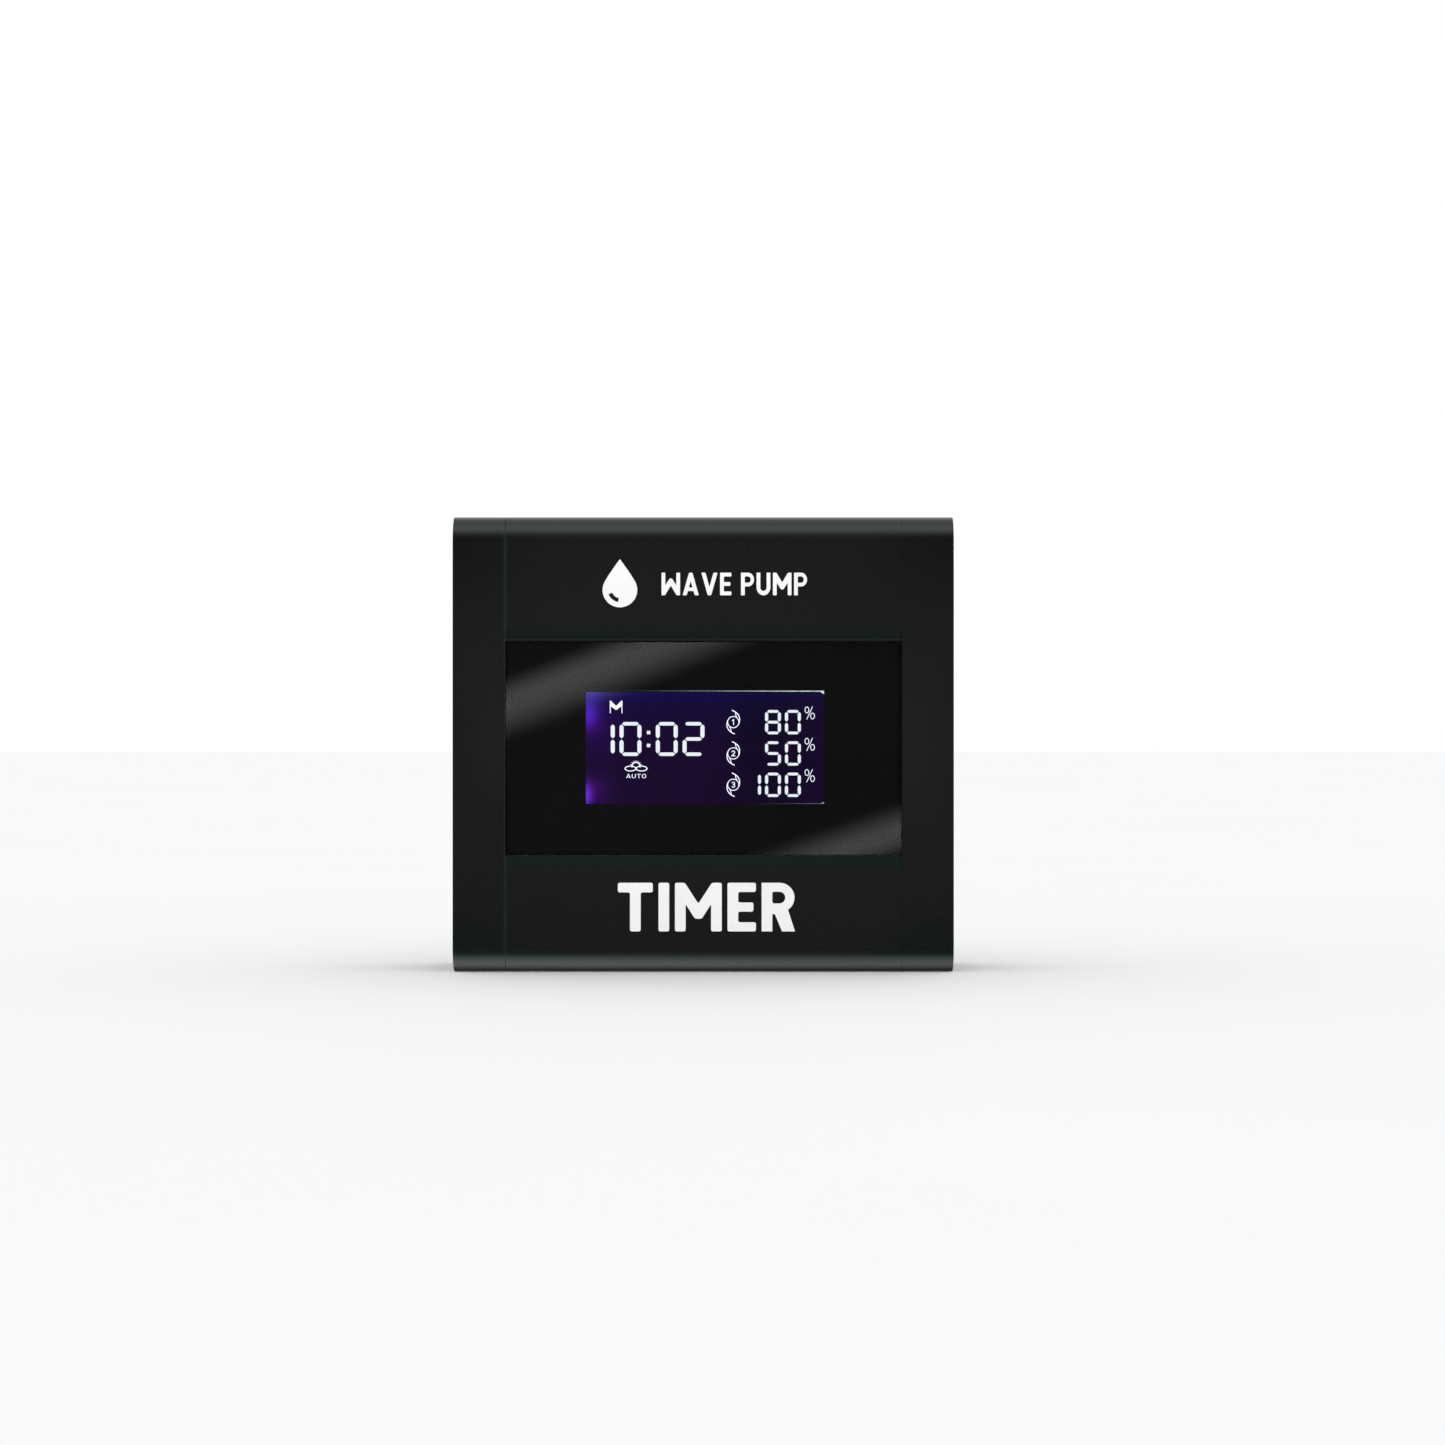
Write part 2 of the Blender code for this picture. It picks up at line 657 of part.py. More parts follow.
def make_mask():
    """The black printed film behind the window, open over the lit area."""
    end = SLEEVE_END - 2 * GAP
    low, high = (-end, OPENING_LOW + 2 * GAP), (end, OPENING_HIGH - 2 * GAP)
    mask = plate("window_mask", low, high, MASK_FRONT, MASK_THICKNESS, "mask_black")
    low, high = lcd_rectangle(0.0, 0.0)
    opening = plate("mask_opening", low, high, MASK_FRONT - WALL, 2 * WALL, "mask_black")
    return cut(mask, opening)


def make_lcd():
    """The display module: frame, glass, backlight, and the rubber strip that joins the glass to its board."""
    low, high = lcd_rectangle(LCD_FRAME_BORDER, LCD_FRAME_BORDER_Z)
    depth = BACKLIGHT_REAR - FRAME_FRONT
    frame = plate("lcd_frame", low, high, FRAME_FRONT, depth, "lcd_frame_black")
    low, high = lcd_rectangle(LCD_SIGHT_MARGIN, LCD_SIGHT_MARGIN)
    cut(frame, plate("frame_sight", low, high, 0.0, CASE_DEPTH / 2, "lcd_frame_black"))
    low, high = lcd_rectangle(LCD_FRAME_BORDER - LCD_FRAME_WALL, LCD_FRAME_BORDER_Z - LCD_FRAME_WALL)
    hollow_front = FRAME_FRONT + FRAME_FLANGE
    cut(frame, plate("frame_hollow", low, high, hollow_front, CASE_DEPTH / 2, "lcd_frame_black"))
    margin = LCD_FRAME_WALL + GAP
    low, high = lcd_rectangle(LCD_FRAME_BORDER - margin, LCD_FRAME_BORDER_Z - margin)
    plate("lcd_glass", low, high, GLASS_FRONT, GLASS_THICKNESS, "lcd_violet")
    behind_glass = BACKLIGHT_REAR - BACKLIGHT_FRONT
    strip_top = low[1] + ZEBRA_HEIGHT
    plate("lcd_zebra_strip", low, (high[0], strip_top), BACKLIGHT_FRONT, behind_glass, "rubber_black")
    light_low = (low[0], strip_top + GAP)
    plate("lcd_backlight", light_low, high, BACKLIGHT_FRONT, behind_glass, "backlight_white")


# ---------------------------------------------------------------- boards


def standoff_places():
    return [(x, z) for z in STANDOFF_LEVELS for x in (-STANDOFF_X, STANDOFF_X)]


def make_boards():
    low, high = DISPLAY_BOARD_BOX
    display = plate("display_board", low, high, DISPLAY_BOARD_FRONT, BOARD_THICKNESS, "board_green")
    low, high = MAIN_BOARD_BOX
    plate("main_board", low, high, MAIN_BOARD_FRONT, BOARD_THICKNESS, "board_green")
    for number, (x, z) in enumerate(standoff_places(), 1):
        hole = arc((x, z), BOARD_HOLE, 0, 330, 11)
        start, end = behind(DISPLAY_BOARD_FRONT - WALL), behind(DISPLAY_BOARD_REAR + WALL)
        cut(display, prism(f"board_hole_{number}", hole, "Y", start, end, "board_green"))
        make_standoff(f"board_standoff_{number}", x, z)
        make_board_screw(f"board_screw_{number}", x, z)


def make_standoff(name, x, z):
    """A hexagonal spacer between the boards, bored for the board screw."""
    start, end = behind(DISPLAY_BOARD_REAR + GAP), behind(MAIN_BOARD_FRONT - GAP)
    hexagon = arc((x, z), STANDOFF_RADIUS, 0, 300, 5)
    spacer = prism(name, hexagon, "Y", start, end, "brass_gold")
    bore = arc((x, z), STANDOFF_BORE, 0, 330, 11)
    return cut(spacer, prism(f"{name}_bore", bore, "Y", start - WALL, start + STANDOFF_BORE_DEPTH, "brass_gold"))


def make_board_screw(name, x, z):
    head_rear = DISPLAY_BOARD_FRONT - GAP
    edge = BOARD_SCREW_HEAD_HEIGHT / 4
    profile = [
        (0.0, -BOARD_SCREW_HEAD_HEIGHT),
        (BOARD_SCREW_HEAD - edge, -BOARD_SCREW_HEAD_HEIGHT),
        (BOARD_SCREW_HEAD, -BOARD_SCREW_HEAD_HEIGHT + 2 * edge),
        (BOARD_SCREW_HEAD, 0.0),
        (BOARD_SCREW_SHANK, 0.0),
        (BOARD_SCREW_SHANK, BOARD_SCREW_LENGTH),
        (0.0, BOARD_SCREW_LENGTH),
    ]
    return turned(name, profile, rearwards(x, behind(head_rear), z), "steel_bright", 12)


def on_board_front(name, box, thickness, look):
    """A part mounted on the main board's front side."""
    low, high = box
    return plate(name, low, high, MAIN_BOARD_FRONT - GAP - thickness, thickness, look)


def around(x, z, width, height):
    """The box of that size round a centre, as (X, Z) corners."""
    return (x - width / 2, z - height / 2), (x + width / 2, z + height / 2)


def make_board_parts():
    """The chips, coils, capacitors and fuse of the main board, and the plug that joins the boards."""
    low, high = HEADER_BOX
    length = MAIN_BOARD_FRONT - DISPLAY_BOARD_REAR - 2 * GAP
    plate("board_header", low, high, DISPLAY_BOARD_REAR + GAP, length, "chip_black")
    on_board_front("microcontroller", CONTROLLER_BOX, CONTROLLER_THICKNESS, "chip_black")
    make_radio()
    rear_side = MAIN_BOARD_REAR + GAP
    for number, z in enumerate(SOCKET_HEIGHTS, 1):
        low, high = around(DRIVER_X, z, *DRIVER_SIZE)
        plate(f"motor_driver_{number}", low, high, rear_side, DRIVER_THICKNESS, "chip_black")
        low, high = around(INDUCTOR_X, z, INDUCTOR_SIZE, INDUCTOR_SIZE)
        outline = rounded(low, high, INDUCTOR_CORNER, 2)
        start = behind(rear_side)
        prism(f"power_inductor_{number}", outline, "Y", start, start + INDUCTOR_THICKNESS, "chip_black")
    for number, x in enumerate(CAPACITOR_XS, 1):
        make_capacitor(f"bulk_capacitor_{number}", x)
    make_fuse()


def make_radio():
    """The radio module for the remote control: a small board under a screening can."""
    low, high = RADIO_BOX
    thickness = RADIO_BOARD + RADIO_CAN_THICKNESS
    radio = on_board_front("radio_module", RADIO_BOX, RADIO_BOARD, "steel_bright")
    margin = RADIO_CAN_MARGIN
    low, high = (low[0] + margin, low[1] + margin), (high[0] - margin, high[1] - margin)
    front = MAIN_BOARD_FRONT - GAP - thickness
    can = plate("radio_can", low, high, front, thickness - RADIO_BOARD / 2, "steel_bright")
    return join(radio, can)


def make_capacitor(name, x):
    """A capacitor lying on the rear of the main board, with the groove near its foot."""
    groove = CAPACITOR_RADIUS / 10
    profile = [
        (0.0, 0.0),
        (CAPACITOR_RADIUS - groove, 0.0),
        (CAPACITOR_RADIUS, groove),
        (CAPACITOR_RADIUS, 4 * groove),
        (CAPACITOR_RADIUS - groove, 5 * groove),
        (CAPACITOR_RADIUS, 6 * groove),
        (CAPACITOR_RADIUS, CAPACITOR_LENGTH - groove),
        (CAPACITOR_RADIUS - groove, CAPACITOR_LENGTH),
        (0.0, CAPACITOR_LENGTH),
    ]
    depth = MAIN_BOARD_REAR + GAP + CAPACITOR_RADIUS
    place = Matrix.Translation((x, behind(depth), CAPACITOR_FOOT))
    return turned(name, profile, place, "capacitor_blue", 16)


def make_fuse():
    """A glass fuse with its two metal ends."""
    profile = [
        (0.0, 0.0),
        (FUSE_RADIUS, 0.0),
        (FUSE_RADIUS, FUSE_CAP),
        (FUSE_NECK, FUSE_CAP),
        (FUSE_NECK, FUSE_LENGTH - FUSE_CAP),
        (FUSE_RADIUS, FUSE_LENGTH - FUSE_CAP),
        (FUSE_RADIUS, FUSE_LENGTH),
        (0.0, FUSE_LENGTH),
    ]
    depth = MAIN_BOARD_REAR + GAP + FUSE_RADIUS
    place = Matrix.Translation((FUSE_START, behind(depth), FUSE_Z))
    turn = place @ Matrix.Rotation(math.radians(90), 4, "Y")
    return turned("fuse", profile, turn, "glass_clear", 12)


# ---------------------------------------------------------------- sockets


def shell_profile(radius, bore, length, flange):
    """A panel socket: a tube with an open bore, and a flange behind the cap's wall."""
    flange_start = END_WALL + GAP
    return [
        (bore, TIGHT),
        (radius, TIGHT),
        (radius, flange_start),
        (flange, flange_start),
        (flange, flange_start + FLANGE_THICKNESS),
        (radius, flange_start + FLANGE_THICKNESS),
        (radius, length),
        (bore, length),
    ]


def lug(name, side, z, start, end):
    """The flat tail of a socket's contacts, which lies on the main board."""
    low, high = side_span(side, start, end)
    y = behind(MAIN_BOARD_FRONT - GAP)
    return block(name, (low, y - LUG_THICKNESS, z - LUG_HALF_WIDTH), (high, y, z + LUG_HALF_WIDTH), "brass_gold")


def contact_disc(name, side, z, bore, depth, length, look):
    """The insulator at the bottom of a socket's bore, which reaches out behind the shell."""
    radius = bore - GAP
    profile = [(0.0, depth), (radius, depth), (radius, length), (0.0, length)]
    return turned(name, profile, inwards(side, MIDDLE, z), look)


def make_pump_socket(number, z):
    """A round three-pin socket: its keyed shell, and the contacts inside it."""
    name = f"pump_socket_{number}"
    profile = shell_profile(SOCKET_RADIUS, SOCKET_BORE, SOCKET_LENGTH, SOCKET_FLANGE_RADIUS)
    shell = turned(name, profile, inwards(1, MIDDLE, z), "socket_black", FINE_STEPS)
    overlap = SOCKET_KEY_HEIGHT
    low = (END - CONTACT_DISC_DEPTH + GAP, MIDDLE - SOCKET_KEY_WIDTH / 2, z + SOCKET_BORE - SOCKET_KEY_HEIGHT)
    high = (END - 2 * SOCKET_KEY_WIDTH, MIDDLE + SOCKET_KEY_WIDTH / 2, z + SOCKET_BORE + overlap)
    join(shell, block(f"{name}_key", low, high, "socket_black"))
    tail = SOCKET_LENGTH + 2 * GAP
    contacts = contact_disc(
        f"pump_contacts_{number}", 1, z, SOCKET_BORE, CONTACT_DISC_DEPTH, tail, "brass_gold"
    )
    for pin in range(3):
        angle = math.radians(90 + 120 * pin)
        y = MIDDLE + CONTACT_CIRCLE * math.cos(angle)
        height = z + CONTACT_CIRCLE * math.sin(angle)
        outline = arc((y, height), CONTACT_PIN_RADIUS, 0, 315, 7)
        start = END - CONTACT_DISC_DEPTH - CONTACT_PIN_RADIUS
        tip = END - CONTACT_DISC_DEPTH + CONTACT_PIN_LENGTH
        join(contacts, prism(f"contact_pin_{number}_{pin}", outline, "X", start, tip, "brass_gold"))
    join(contacts, lug(f"socket_lug_{number}", 1, z, END - tail + LUG_THICKNESS, SOCKET_LUG_END))


def make_power_jack():
    """The barrel socket for the power supply, with its centre pin."""
    profile = shell_profile(JACK_RADIUS, JACK_BORE, JACK_LENGTH, JACK_FLANGE_RADIUS)
    turned("power_jack", profile, inwards(-1, MIDDLE, JACK_Z), "socket_black", FINE_STEPS)
    tail = JACK_LENGTH + 2 * GAP
    contact = contact_disc("jack_contact", -1, JACK_Z, JACK_BORE, JACK_DISC_DEPTH, tail, "steel_bright")
    outline = arc((MIDDLE, JACK_Z), JACK_PIN_RADIUS, 0, 330, 11)
    low, high = side_span(-1, END - JACK_DISC_DEPTH - JACK_PIN_RADIUS, END - JACK_DISC_DEPTH + JACK_PIN_LENGTH)
    join(contact, prism("jack_pin", outline, "X", low, high, "steel_bright"))
    start = END - tail + LUG_THICKNESS / 2
    neck_low, neck_high = side_span(-1, start, start - 3 * LUG_THICKNESS / 2)
    neck_rear = behind(MAIN_BOARD_FRONT - GAP) - LUG_THICKNESS / 2
    neck = block(
        "jack_neck",
        (neck_low, MIDDLE - LUG_THICKNESS, JACK_Z - LUG_THICKNESS),
        (neck_high, neck_rear, JACK_Z + LUG_THICKNESS),
        "steel_bright",
    )
    join(contact, neck, lug("jack_lug", -1, JACK_Z, start - LUG_THICKNESS / 4, JACK_LUG_END))


# ---------------------------------------------------------------- moving pieces


def on_slide(axis_name, place, *pieces):
    """Parents pieces to an empty that stands on their joint's axis."""
    axis = bpy.data.objects.new(axis_name, None)
    axis.empty_display_size = CORNER_RADIUS
    axis.location = place
    bpy.context.scene.collection.objects.link(axis)
    bpy.context.view_layer.update()
    for piece in pieces:
        piece.parent = axis
        piece.matrix_parent_inverse = axis.matrix_world.inverted()


def make_button():
    """The pairing button: a dished cap, a flange that keeps it in, and a stem that reaches the switch."""
    flange_end = BUTTON_FLANGE_DEPTH + BUTTON_FLANGE
    edge = BUTTON_SUNK
    profile = [
        (0.0, BUTTON_SUNK + BUTTON_DISH),
        (BUTTON_RADIUS * 0.5, BUTTON_SUNK + BUTTON_DISH * 0.75),
        (BUTTON_RADIUS - 2 * edge, BUTTON_SUNK),
        (BUTTON_RADIUS, BUTTON_SUNK + edge),
        (BUTTON_RADIUS, BUTTON_FLANGE_DEPTH),
        (BUTTON_FLANGE_RADIUS, BUTTON_FLANGE_DEPTH),
        (BUTTON_FLANGE_RADIUS, flange_end),
        (STEM_RADIUS, flange_end),
        (STEM_RADIUS, STEM_END),
        (0.0, STEM_END),
    ]
    button = turned("pair_button", profile, inwards(-1, MIDDLE, BUTTON_Z), "button_grey")
    on_slide("pair_button_slide", (-END, MIDDLE, BUTTON_Z), button)


def make_switch():
    """The push switch on the main board. Its plunger faces the button's stem."""
    face = STEM_END + BUTTON_TRAVEL + TIGHT + PLUNGER_LENGTH
    low_x, high_x = side_span(-1, END - face, END - face - SWITCH_DEPTH)
    half = SWITCH_SIZE / 2
    rear = behind(MAIN_BOARD_FRONT - GAP)
    low = (low_x, MIDDLE - half, BUTTON_Z - half)
    switch = block("pair_switch", low, (high_x, rear, BUTTON_Z + half), "chip_black")
    profile = [
        (0.0, face - PLUNGER_LENGTH),
        (PLUNGER_RADIUS, face - PLUNGER_LENGTH),
        (PLUNGER_RADIUS, face + PLUNGER_RADIUS),
        (0.0, face + PLUNGER_RADIUS),
    ]
    join(switch, turned("switch_plunger", profile, inwards(-1, MIDDLE, BUTTON_Z), "chip_black", 12))


def tray_section(width, thickness, margin, radius):
    """The tray's cross-section grown by a margin, as (Y, Z)."""
    low = (MIDDLE - thickness / 2 - margin, TRAY_Z - width / 2 - margin)
    high = (MIDDLE + thickness / 2 + margin, TRAY_Z + width / 2 + margin)
    return rounded(low, high, radius, 3)


def make_tray():
    """The sliding tray with its round pocket, and the coin cell in it."""
    face_rear = -END + TRAY_FACE_THICKNESS
    body = tray_section(TRAY_WIDTH, TRAY_THICKNESS, 0.0, 0.2 * MM)
    tray = prism(
        "coin_cell_tray", body, "X", face_rear - GAP, face_rear + TRAY_LENGTH, "case_black"
    )
    face = tray_section(TRAY_FACE_WIDTH, TRAY_FACE_HEIGHT, 0.0, 0.9 * MM)
    join(tray, prism("tray_face", face, "X", -END, face_rear, "case_black"))
    pocket_floor = MIDDLE + TRAY_THICKNESS / 2 - CELL_FLOOR
    pocket = arc((CELL_X, TRAY_Z), CELL_RADIUS + GAP, 0, 352.5, 47)
    cut(tray, prism("cell_pocket", pocket, "Y", FRONT, pocket_floor, "case_black"))
    notch = arc((-END - NOTCH_RADIUS + NOTCH_DEPTH, TRAY_Z), NOTCH_RADIUS, 0, 345, 23)
    notch_low, notch_high = MIDDLE - TRAY_THICKNESS / 4, MIDDLE + TRAY_THICKNESS / 4
    cut(tray, prism("nail_notch", notch, "Y", notch_low, notch_high, "case_black"))
    profile = [
        (0.0, 0.0),
        (CELL_CAP_RADIUS, 0.0),
        (CELL_CAP_RADIUS, CELL_CAP_STEP),
        (CELL_RADIUS, CELL_CAP_STEP),
        (CELL_RADIUS, CELL_THICKNESS),
        (0.0, CELL_THICKNESS),
    ]
    cell_front = pocket_floor - GAP - CELL_THICKNESS
    cell = turned("coin_cell", profile, rearwards(CELL_X, cell_front, TRAY_Z), "steel_bright", FINE_STEPS)
    on_slide("coin_tray_slide", (-END, MIDDLE, TRAY_Z), tray, cell)


def make_cell_holder():
    """The channel on the main board that guides the tray, and the spring strip over the cell."""
    inner_end = -END + TRAY_FACE_THICKNESS + TRAY_LENGTH + GAP
    half = TRAY_WIDTH / 2 + GAP
    front = MIDDLE - TRAY_THICKNESS / 2
    rear = behind(MAIN_BOARD_FRONT - GAP)
    low = (HOLDER_START, front, TRAY_Z - half - HOLDER_WALL)
    high = (inner_end + HOLDER_WALL, rear, TRAY_Z + half + HOLDER_WALL)
    holder = block("coin_cell_holder", low, high, "chip_black")
    hollow_low = (-END, front - WALL, TRAY_Z - half)
    hollow_high = (inner_end, rear - HOLDER_FLOOR, TRAY_Z + half)
    cut(holder, block("holder_hollow", hollow_low, hollow_high, "chip_black"))
    strip_front = front - 2 * GAP
    foot = inner_end + HOLDER_WALL + GAP
    outline = [
        (foot - CONTACT_STRIP_REACH, strip_front),
        (foot + GAP, strip_front),
        (foot + GAP, rear),
        (foot, rear),
        (foot, strip_front + GAP),
        (foot - CONTACT_STRIP_REACH, strip_front + GAP),
    ]
    low_z, high_z = TRAY_Z - CONTACT_STRIP_HALF, TRAY_Z + CONTACT_STRIP_HALF
    prism("coin_cell_contact", outline, "Z", low_z, high_z, "brass_gold")


# ---------------------------------------------------------------- assembly


def clear_scene():
    for old in list(bpy.data.objects):
        bpy.data.objects.remove(old)


def make_case():
    make_sleeve()
    make_left_cap()
    make_right_cap()
    for word, side in (("left", -1), ("right", 1)):
        make_gasket(f"{word}_gasket", side)
        for number, (y, z) in enumerate(corner_places(), 1):
            make_cap_screw(f"{word}_cap_screw_{number}", side, y, z)
    make_pads()


def main():
    clear_scene()
    make_case()
    make_window()
    make_mask()
    make_lcd()
    make_boards()
    make_board_parts()
    for number, z in enumerate(SOCKET_HEIGHTS, 1):
        make_pump_socket(number, z)
    make_power_jack()
    make_button()
    make_switch()
    make_tray()
    make_cell_holder()


main()
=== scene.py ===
"""Looks for the wave pump controller: a flat black case with a lit display behind a wide glossy window.

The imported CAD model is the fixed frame. The pieces that show are rebuilt here with softened edges, and each
stands for its CAD node. Lengths are in millimetres until a mesh is made; X runs right, Y to the rear, Z up.
"""

import math

import bmesh
import bpy
from mathutils import Matrix, Vector


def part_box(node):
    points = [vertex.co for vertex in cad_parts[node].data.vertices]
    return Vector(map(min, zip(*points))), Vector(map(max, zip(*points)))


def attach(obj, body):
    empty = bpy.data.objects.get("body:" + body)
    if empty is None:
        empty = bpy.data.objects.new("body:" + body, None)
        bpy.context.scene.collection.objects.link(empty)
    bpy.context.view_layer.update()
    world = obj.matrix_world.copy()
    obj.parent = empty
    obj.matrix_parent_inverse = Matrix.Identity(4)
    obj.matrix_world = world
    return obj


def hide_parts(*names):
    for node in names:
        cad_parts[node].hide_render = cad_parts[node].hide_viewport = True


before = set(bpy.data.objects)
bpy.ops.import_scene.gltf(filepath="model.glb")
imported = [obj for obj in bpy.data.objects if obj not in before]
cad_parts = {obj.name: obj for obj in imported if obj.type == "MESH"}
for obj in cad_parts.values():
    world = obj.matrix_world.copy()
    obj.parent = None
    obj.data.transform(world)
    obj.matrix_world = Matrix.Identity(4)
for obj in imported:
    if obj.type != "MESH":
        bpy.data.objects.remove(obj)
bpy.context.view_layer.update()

MM = 0.001


def span(node):
    """A CAD node's lowest and highest corner in millimetres."""
    low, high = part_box(node)
    return low / MM, high / MM


SLEEVE_LOW, SLEEVE_HIGH = span("housing_sleeve")
FRONT, REAR = SLEEVE_LOW.y, SLEEVE_HIGH.y
DEPTH = REAR - FRONT
MIDDLE = (FRONT + REAR) / 2
HEIGHT = SLEEVE_HIGH.z
END = span("right_end_cap")[1].x

# The case's own measures, the same as the CAD's.
CORNER = 5.5
WALL = 2.2
REAR_WALL = 2.4
END_WALL = 2.5
OPENING = (23.3, 66.1)
LIP_RAMP = 3.4
LIP_SET_BACK = 0.35
SCREW_INSET = 4.6
SOCKET_HEIGHTS = (68.5, 45.5, 22.5)
JACK_Z = 20
BUTTON_Z = 68
TRAY_Z = 45.5
# Printing stands this proud of the surface, which is drawn in as much, so that it stays in the CAD box, and
# printing on the outside starts a hair inside that box.
SKIN = 0.04
INSET = 0.005


class Graph:
    """A material's or the world's nodes, with short calls for the ones used here."""

    def __init__(self, owner):
        owner.use_nodes = True
        self.owner = owner
        self.tree = owner.node_tree
        self.tree.nodes.clear()

    def node(self, kind, inputs=None, **settings):
        """A new node. inputs holds a constant or a link for each named or numbered input."""
        made = self.tree.nodes.new("ShaderNode" + kind)
        for key, value in settings.items():
            setattr(made, key, value)
        for key, value in (inputs or {}).items():
            self.put(value, made.inputs[key])
        return made

    def put(self, value, socket):
        """Links an output to a socket, or writes a constant on it. A colour is linear red, green and blue."""
        if isinstance(value, bpy.types.NodeSocket):
            self.tree.links.new(value, socket)
        else:
            socket.default_value = (*value, 1) if socket.type == "RGBA" else value

    def end(self, shader, kind="OutputMaterial"):
        """Shows a shader, and gives back the material or world."""
        self.put(shader.outputs[0], self.node(kind).inputs[0])
        return self.owner

    def finish(self, inputs):
        """Ends the graph in a principled shader."""
        return self.end(self.node("BsdfPrincipled", inputs))

    def math(self, operation, *values):
        return self.node("Math", dict(enumerate(values)), operation=operation).outputs[0]

    def times(self, first, *others):
        """A product of values."""
        for other in others:
            first = self.math("MULTIPLY", first, other)
        return first

    def ramp(self, value, low, high, out_low=0, out_high=1):
        """A smooth step of a value, between two limits."""
        inputs = dict(enumerate((value, low, high, out_low, out_high)))
        return self.node("MapRange", inputs, interpolation_type="SMOOTHSTEP").outputs[0]

    def band(self, value, rise, fall, level=1):
        """A level between where a value rises and where it falls, both in millimetres, and 0 outside."""
        risen = self.ramp(value, rise[0] * MM, rise[1] * MM)
        return self.times(risen, self.ramp(value, fall[0] * MM, fall[1] * MM, level, 0))

    def mix(self, factor, first, second):
        """A colour between two."""
        return self.node("Mix", {0: factor, 6: first, 7: second}, data_type="RGBA").outputs[2]

    def where(self):
        """The place in the object's own metres, so that a pattern keeps a real size."""
        return self.node("TexCoord").outputs["Object"]

    def noise(self, scale, detail=3, stretch=None):
        where = self.where()
        if stretch:
            where = self.node("Mapping", {"Scale": stretch, "Vector": where}).outputs[0]
        return self.node("TexNoise", {"Vector": where, "Scale": scale, "Detail": detail}).outputs["Fac"]

    def mottle(self, scale, detail, first, second):
        """A colour that wanders between two."""
        return self.mix(self.ramp(self.noise(scale, detail), 0.3, 0.7), first, second)

    def axes(self):
        """The object's own X, Y and Z, in metres."""
        return self.node("SeparateXYZ", {0: self.where()}).outputs

    def patch(self, axes, centre, half):
        """A soft oval spot on the front: 1 at its centre, an (X, Z) in millimetres, and 0 well outside."""
        squares = []
        for axis, middle, width in zip((axes[0], axes[2]), centre, half):
            away = self.math("DIVIDE", self.math("SUBTRACT", axis, middle * MM), width * MM)
            squares.append(self.times(away, away))
        return self.math("EXPONENT", self.times(self.math("ADD", *squares), -1))

    def add_scaled(self, total, colour, level):
        """total plus a colour times a level."""
        scaled = self.node("VectorMath", {0: colour, "Scale": level}, operation="SCALE").outputs[0]
        return self.node("VectorMath", {0: total, 1: scaled}, operation="ADD").outputs[0]

    def bump(self, height, strength, depth):
        """A normal for a relief with its depth in millimetres."""
        return self.node("Bump", {"Height": height, "Strength": strength, "Distance": depth * MM}).outputs[0]


def material(name):
    return Graph(bpy.data.materials.new(name))


def surface(name, colour, roughness, metal=0, vary=0.15, grain=2500, bump=0.15, depth=0.02):
    """A finish with a mottled colour, an uneven gloss and a fine grain. depth is in millimetres."""
    graph = material(name)
    fine = graph.noise(grain, 4)
    darker, lighter = [[c * (1 + change) for c in colour] for change in (-vary, vary)]
    return graph.finish({
        "Metallic": metal,
        "Base Color": graph.mottle(90, 3, darker, lighter),
        "Roughness": graph.ramp(fine, 0.25, 0.75, roughness * (1 - vary), min(1, roughness * (1 + vary))),
        "Normal": graph.bump(fine, bump, depth),
    })


# Painted light and shade on the case's front: lighter patches at mid-height on both sides are painted
# reflections, darker ones at the top corners, along the top and at the bottom corners are painted shade.
# Each has its centre X and Z, its half-widths, and the change of colour.
PAINTED_SHADE_PATCHES = (
    ((42.5, 47), (6.5, 15), (0.0026, 0.0026, 0.0026)),
    ((-41.5, 46), (4, 11), (0.0024, 0.0024, 0.0024)),
    ((-50, 86), (16, 12), (-0.0034, -0.0034, -0.0034)),
    ((50, 86), (13, 10), (-0.0034, -0.0034, -0.0034)),
    ((0, 84), (40, 8), (-0.0007, -0.0007, -0.0007)),
    ((-50, 5), (11, 7), (-0.0044, -0.0004, -0.0018)),
    ((50, 5), (13, 7), (-0.0044, -0.0004, -0.0018)),
)
# Along X: where the green tint painted on the slopes ends, and where the left seam's painted green tint and
# its painted highlight line rise and fall.
SLOPE_ENDS = (39.50, 39.64)
SEAM_PAINTED_TINT = ((-40.6, -39.8), (-39.1, -38.8))
SEAM_PAINTED_HIGHLIGHT = ((-39.85, -39.6), (-39.35, -39.1))


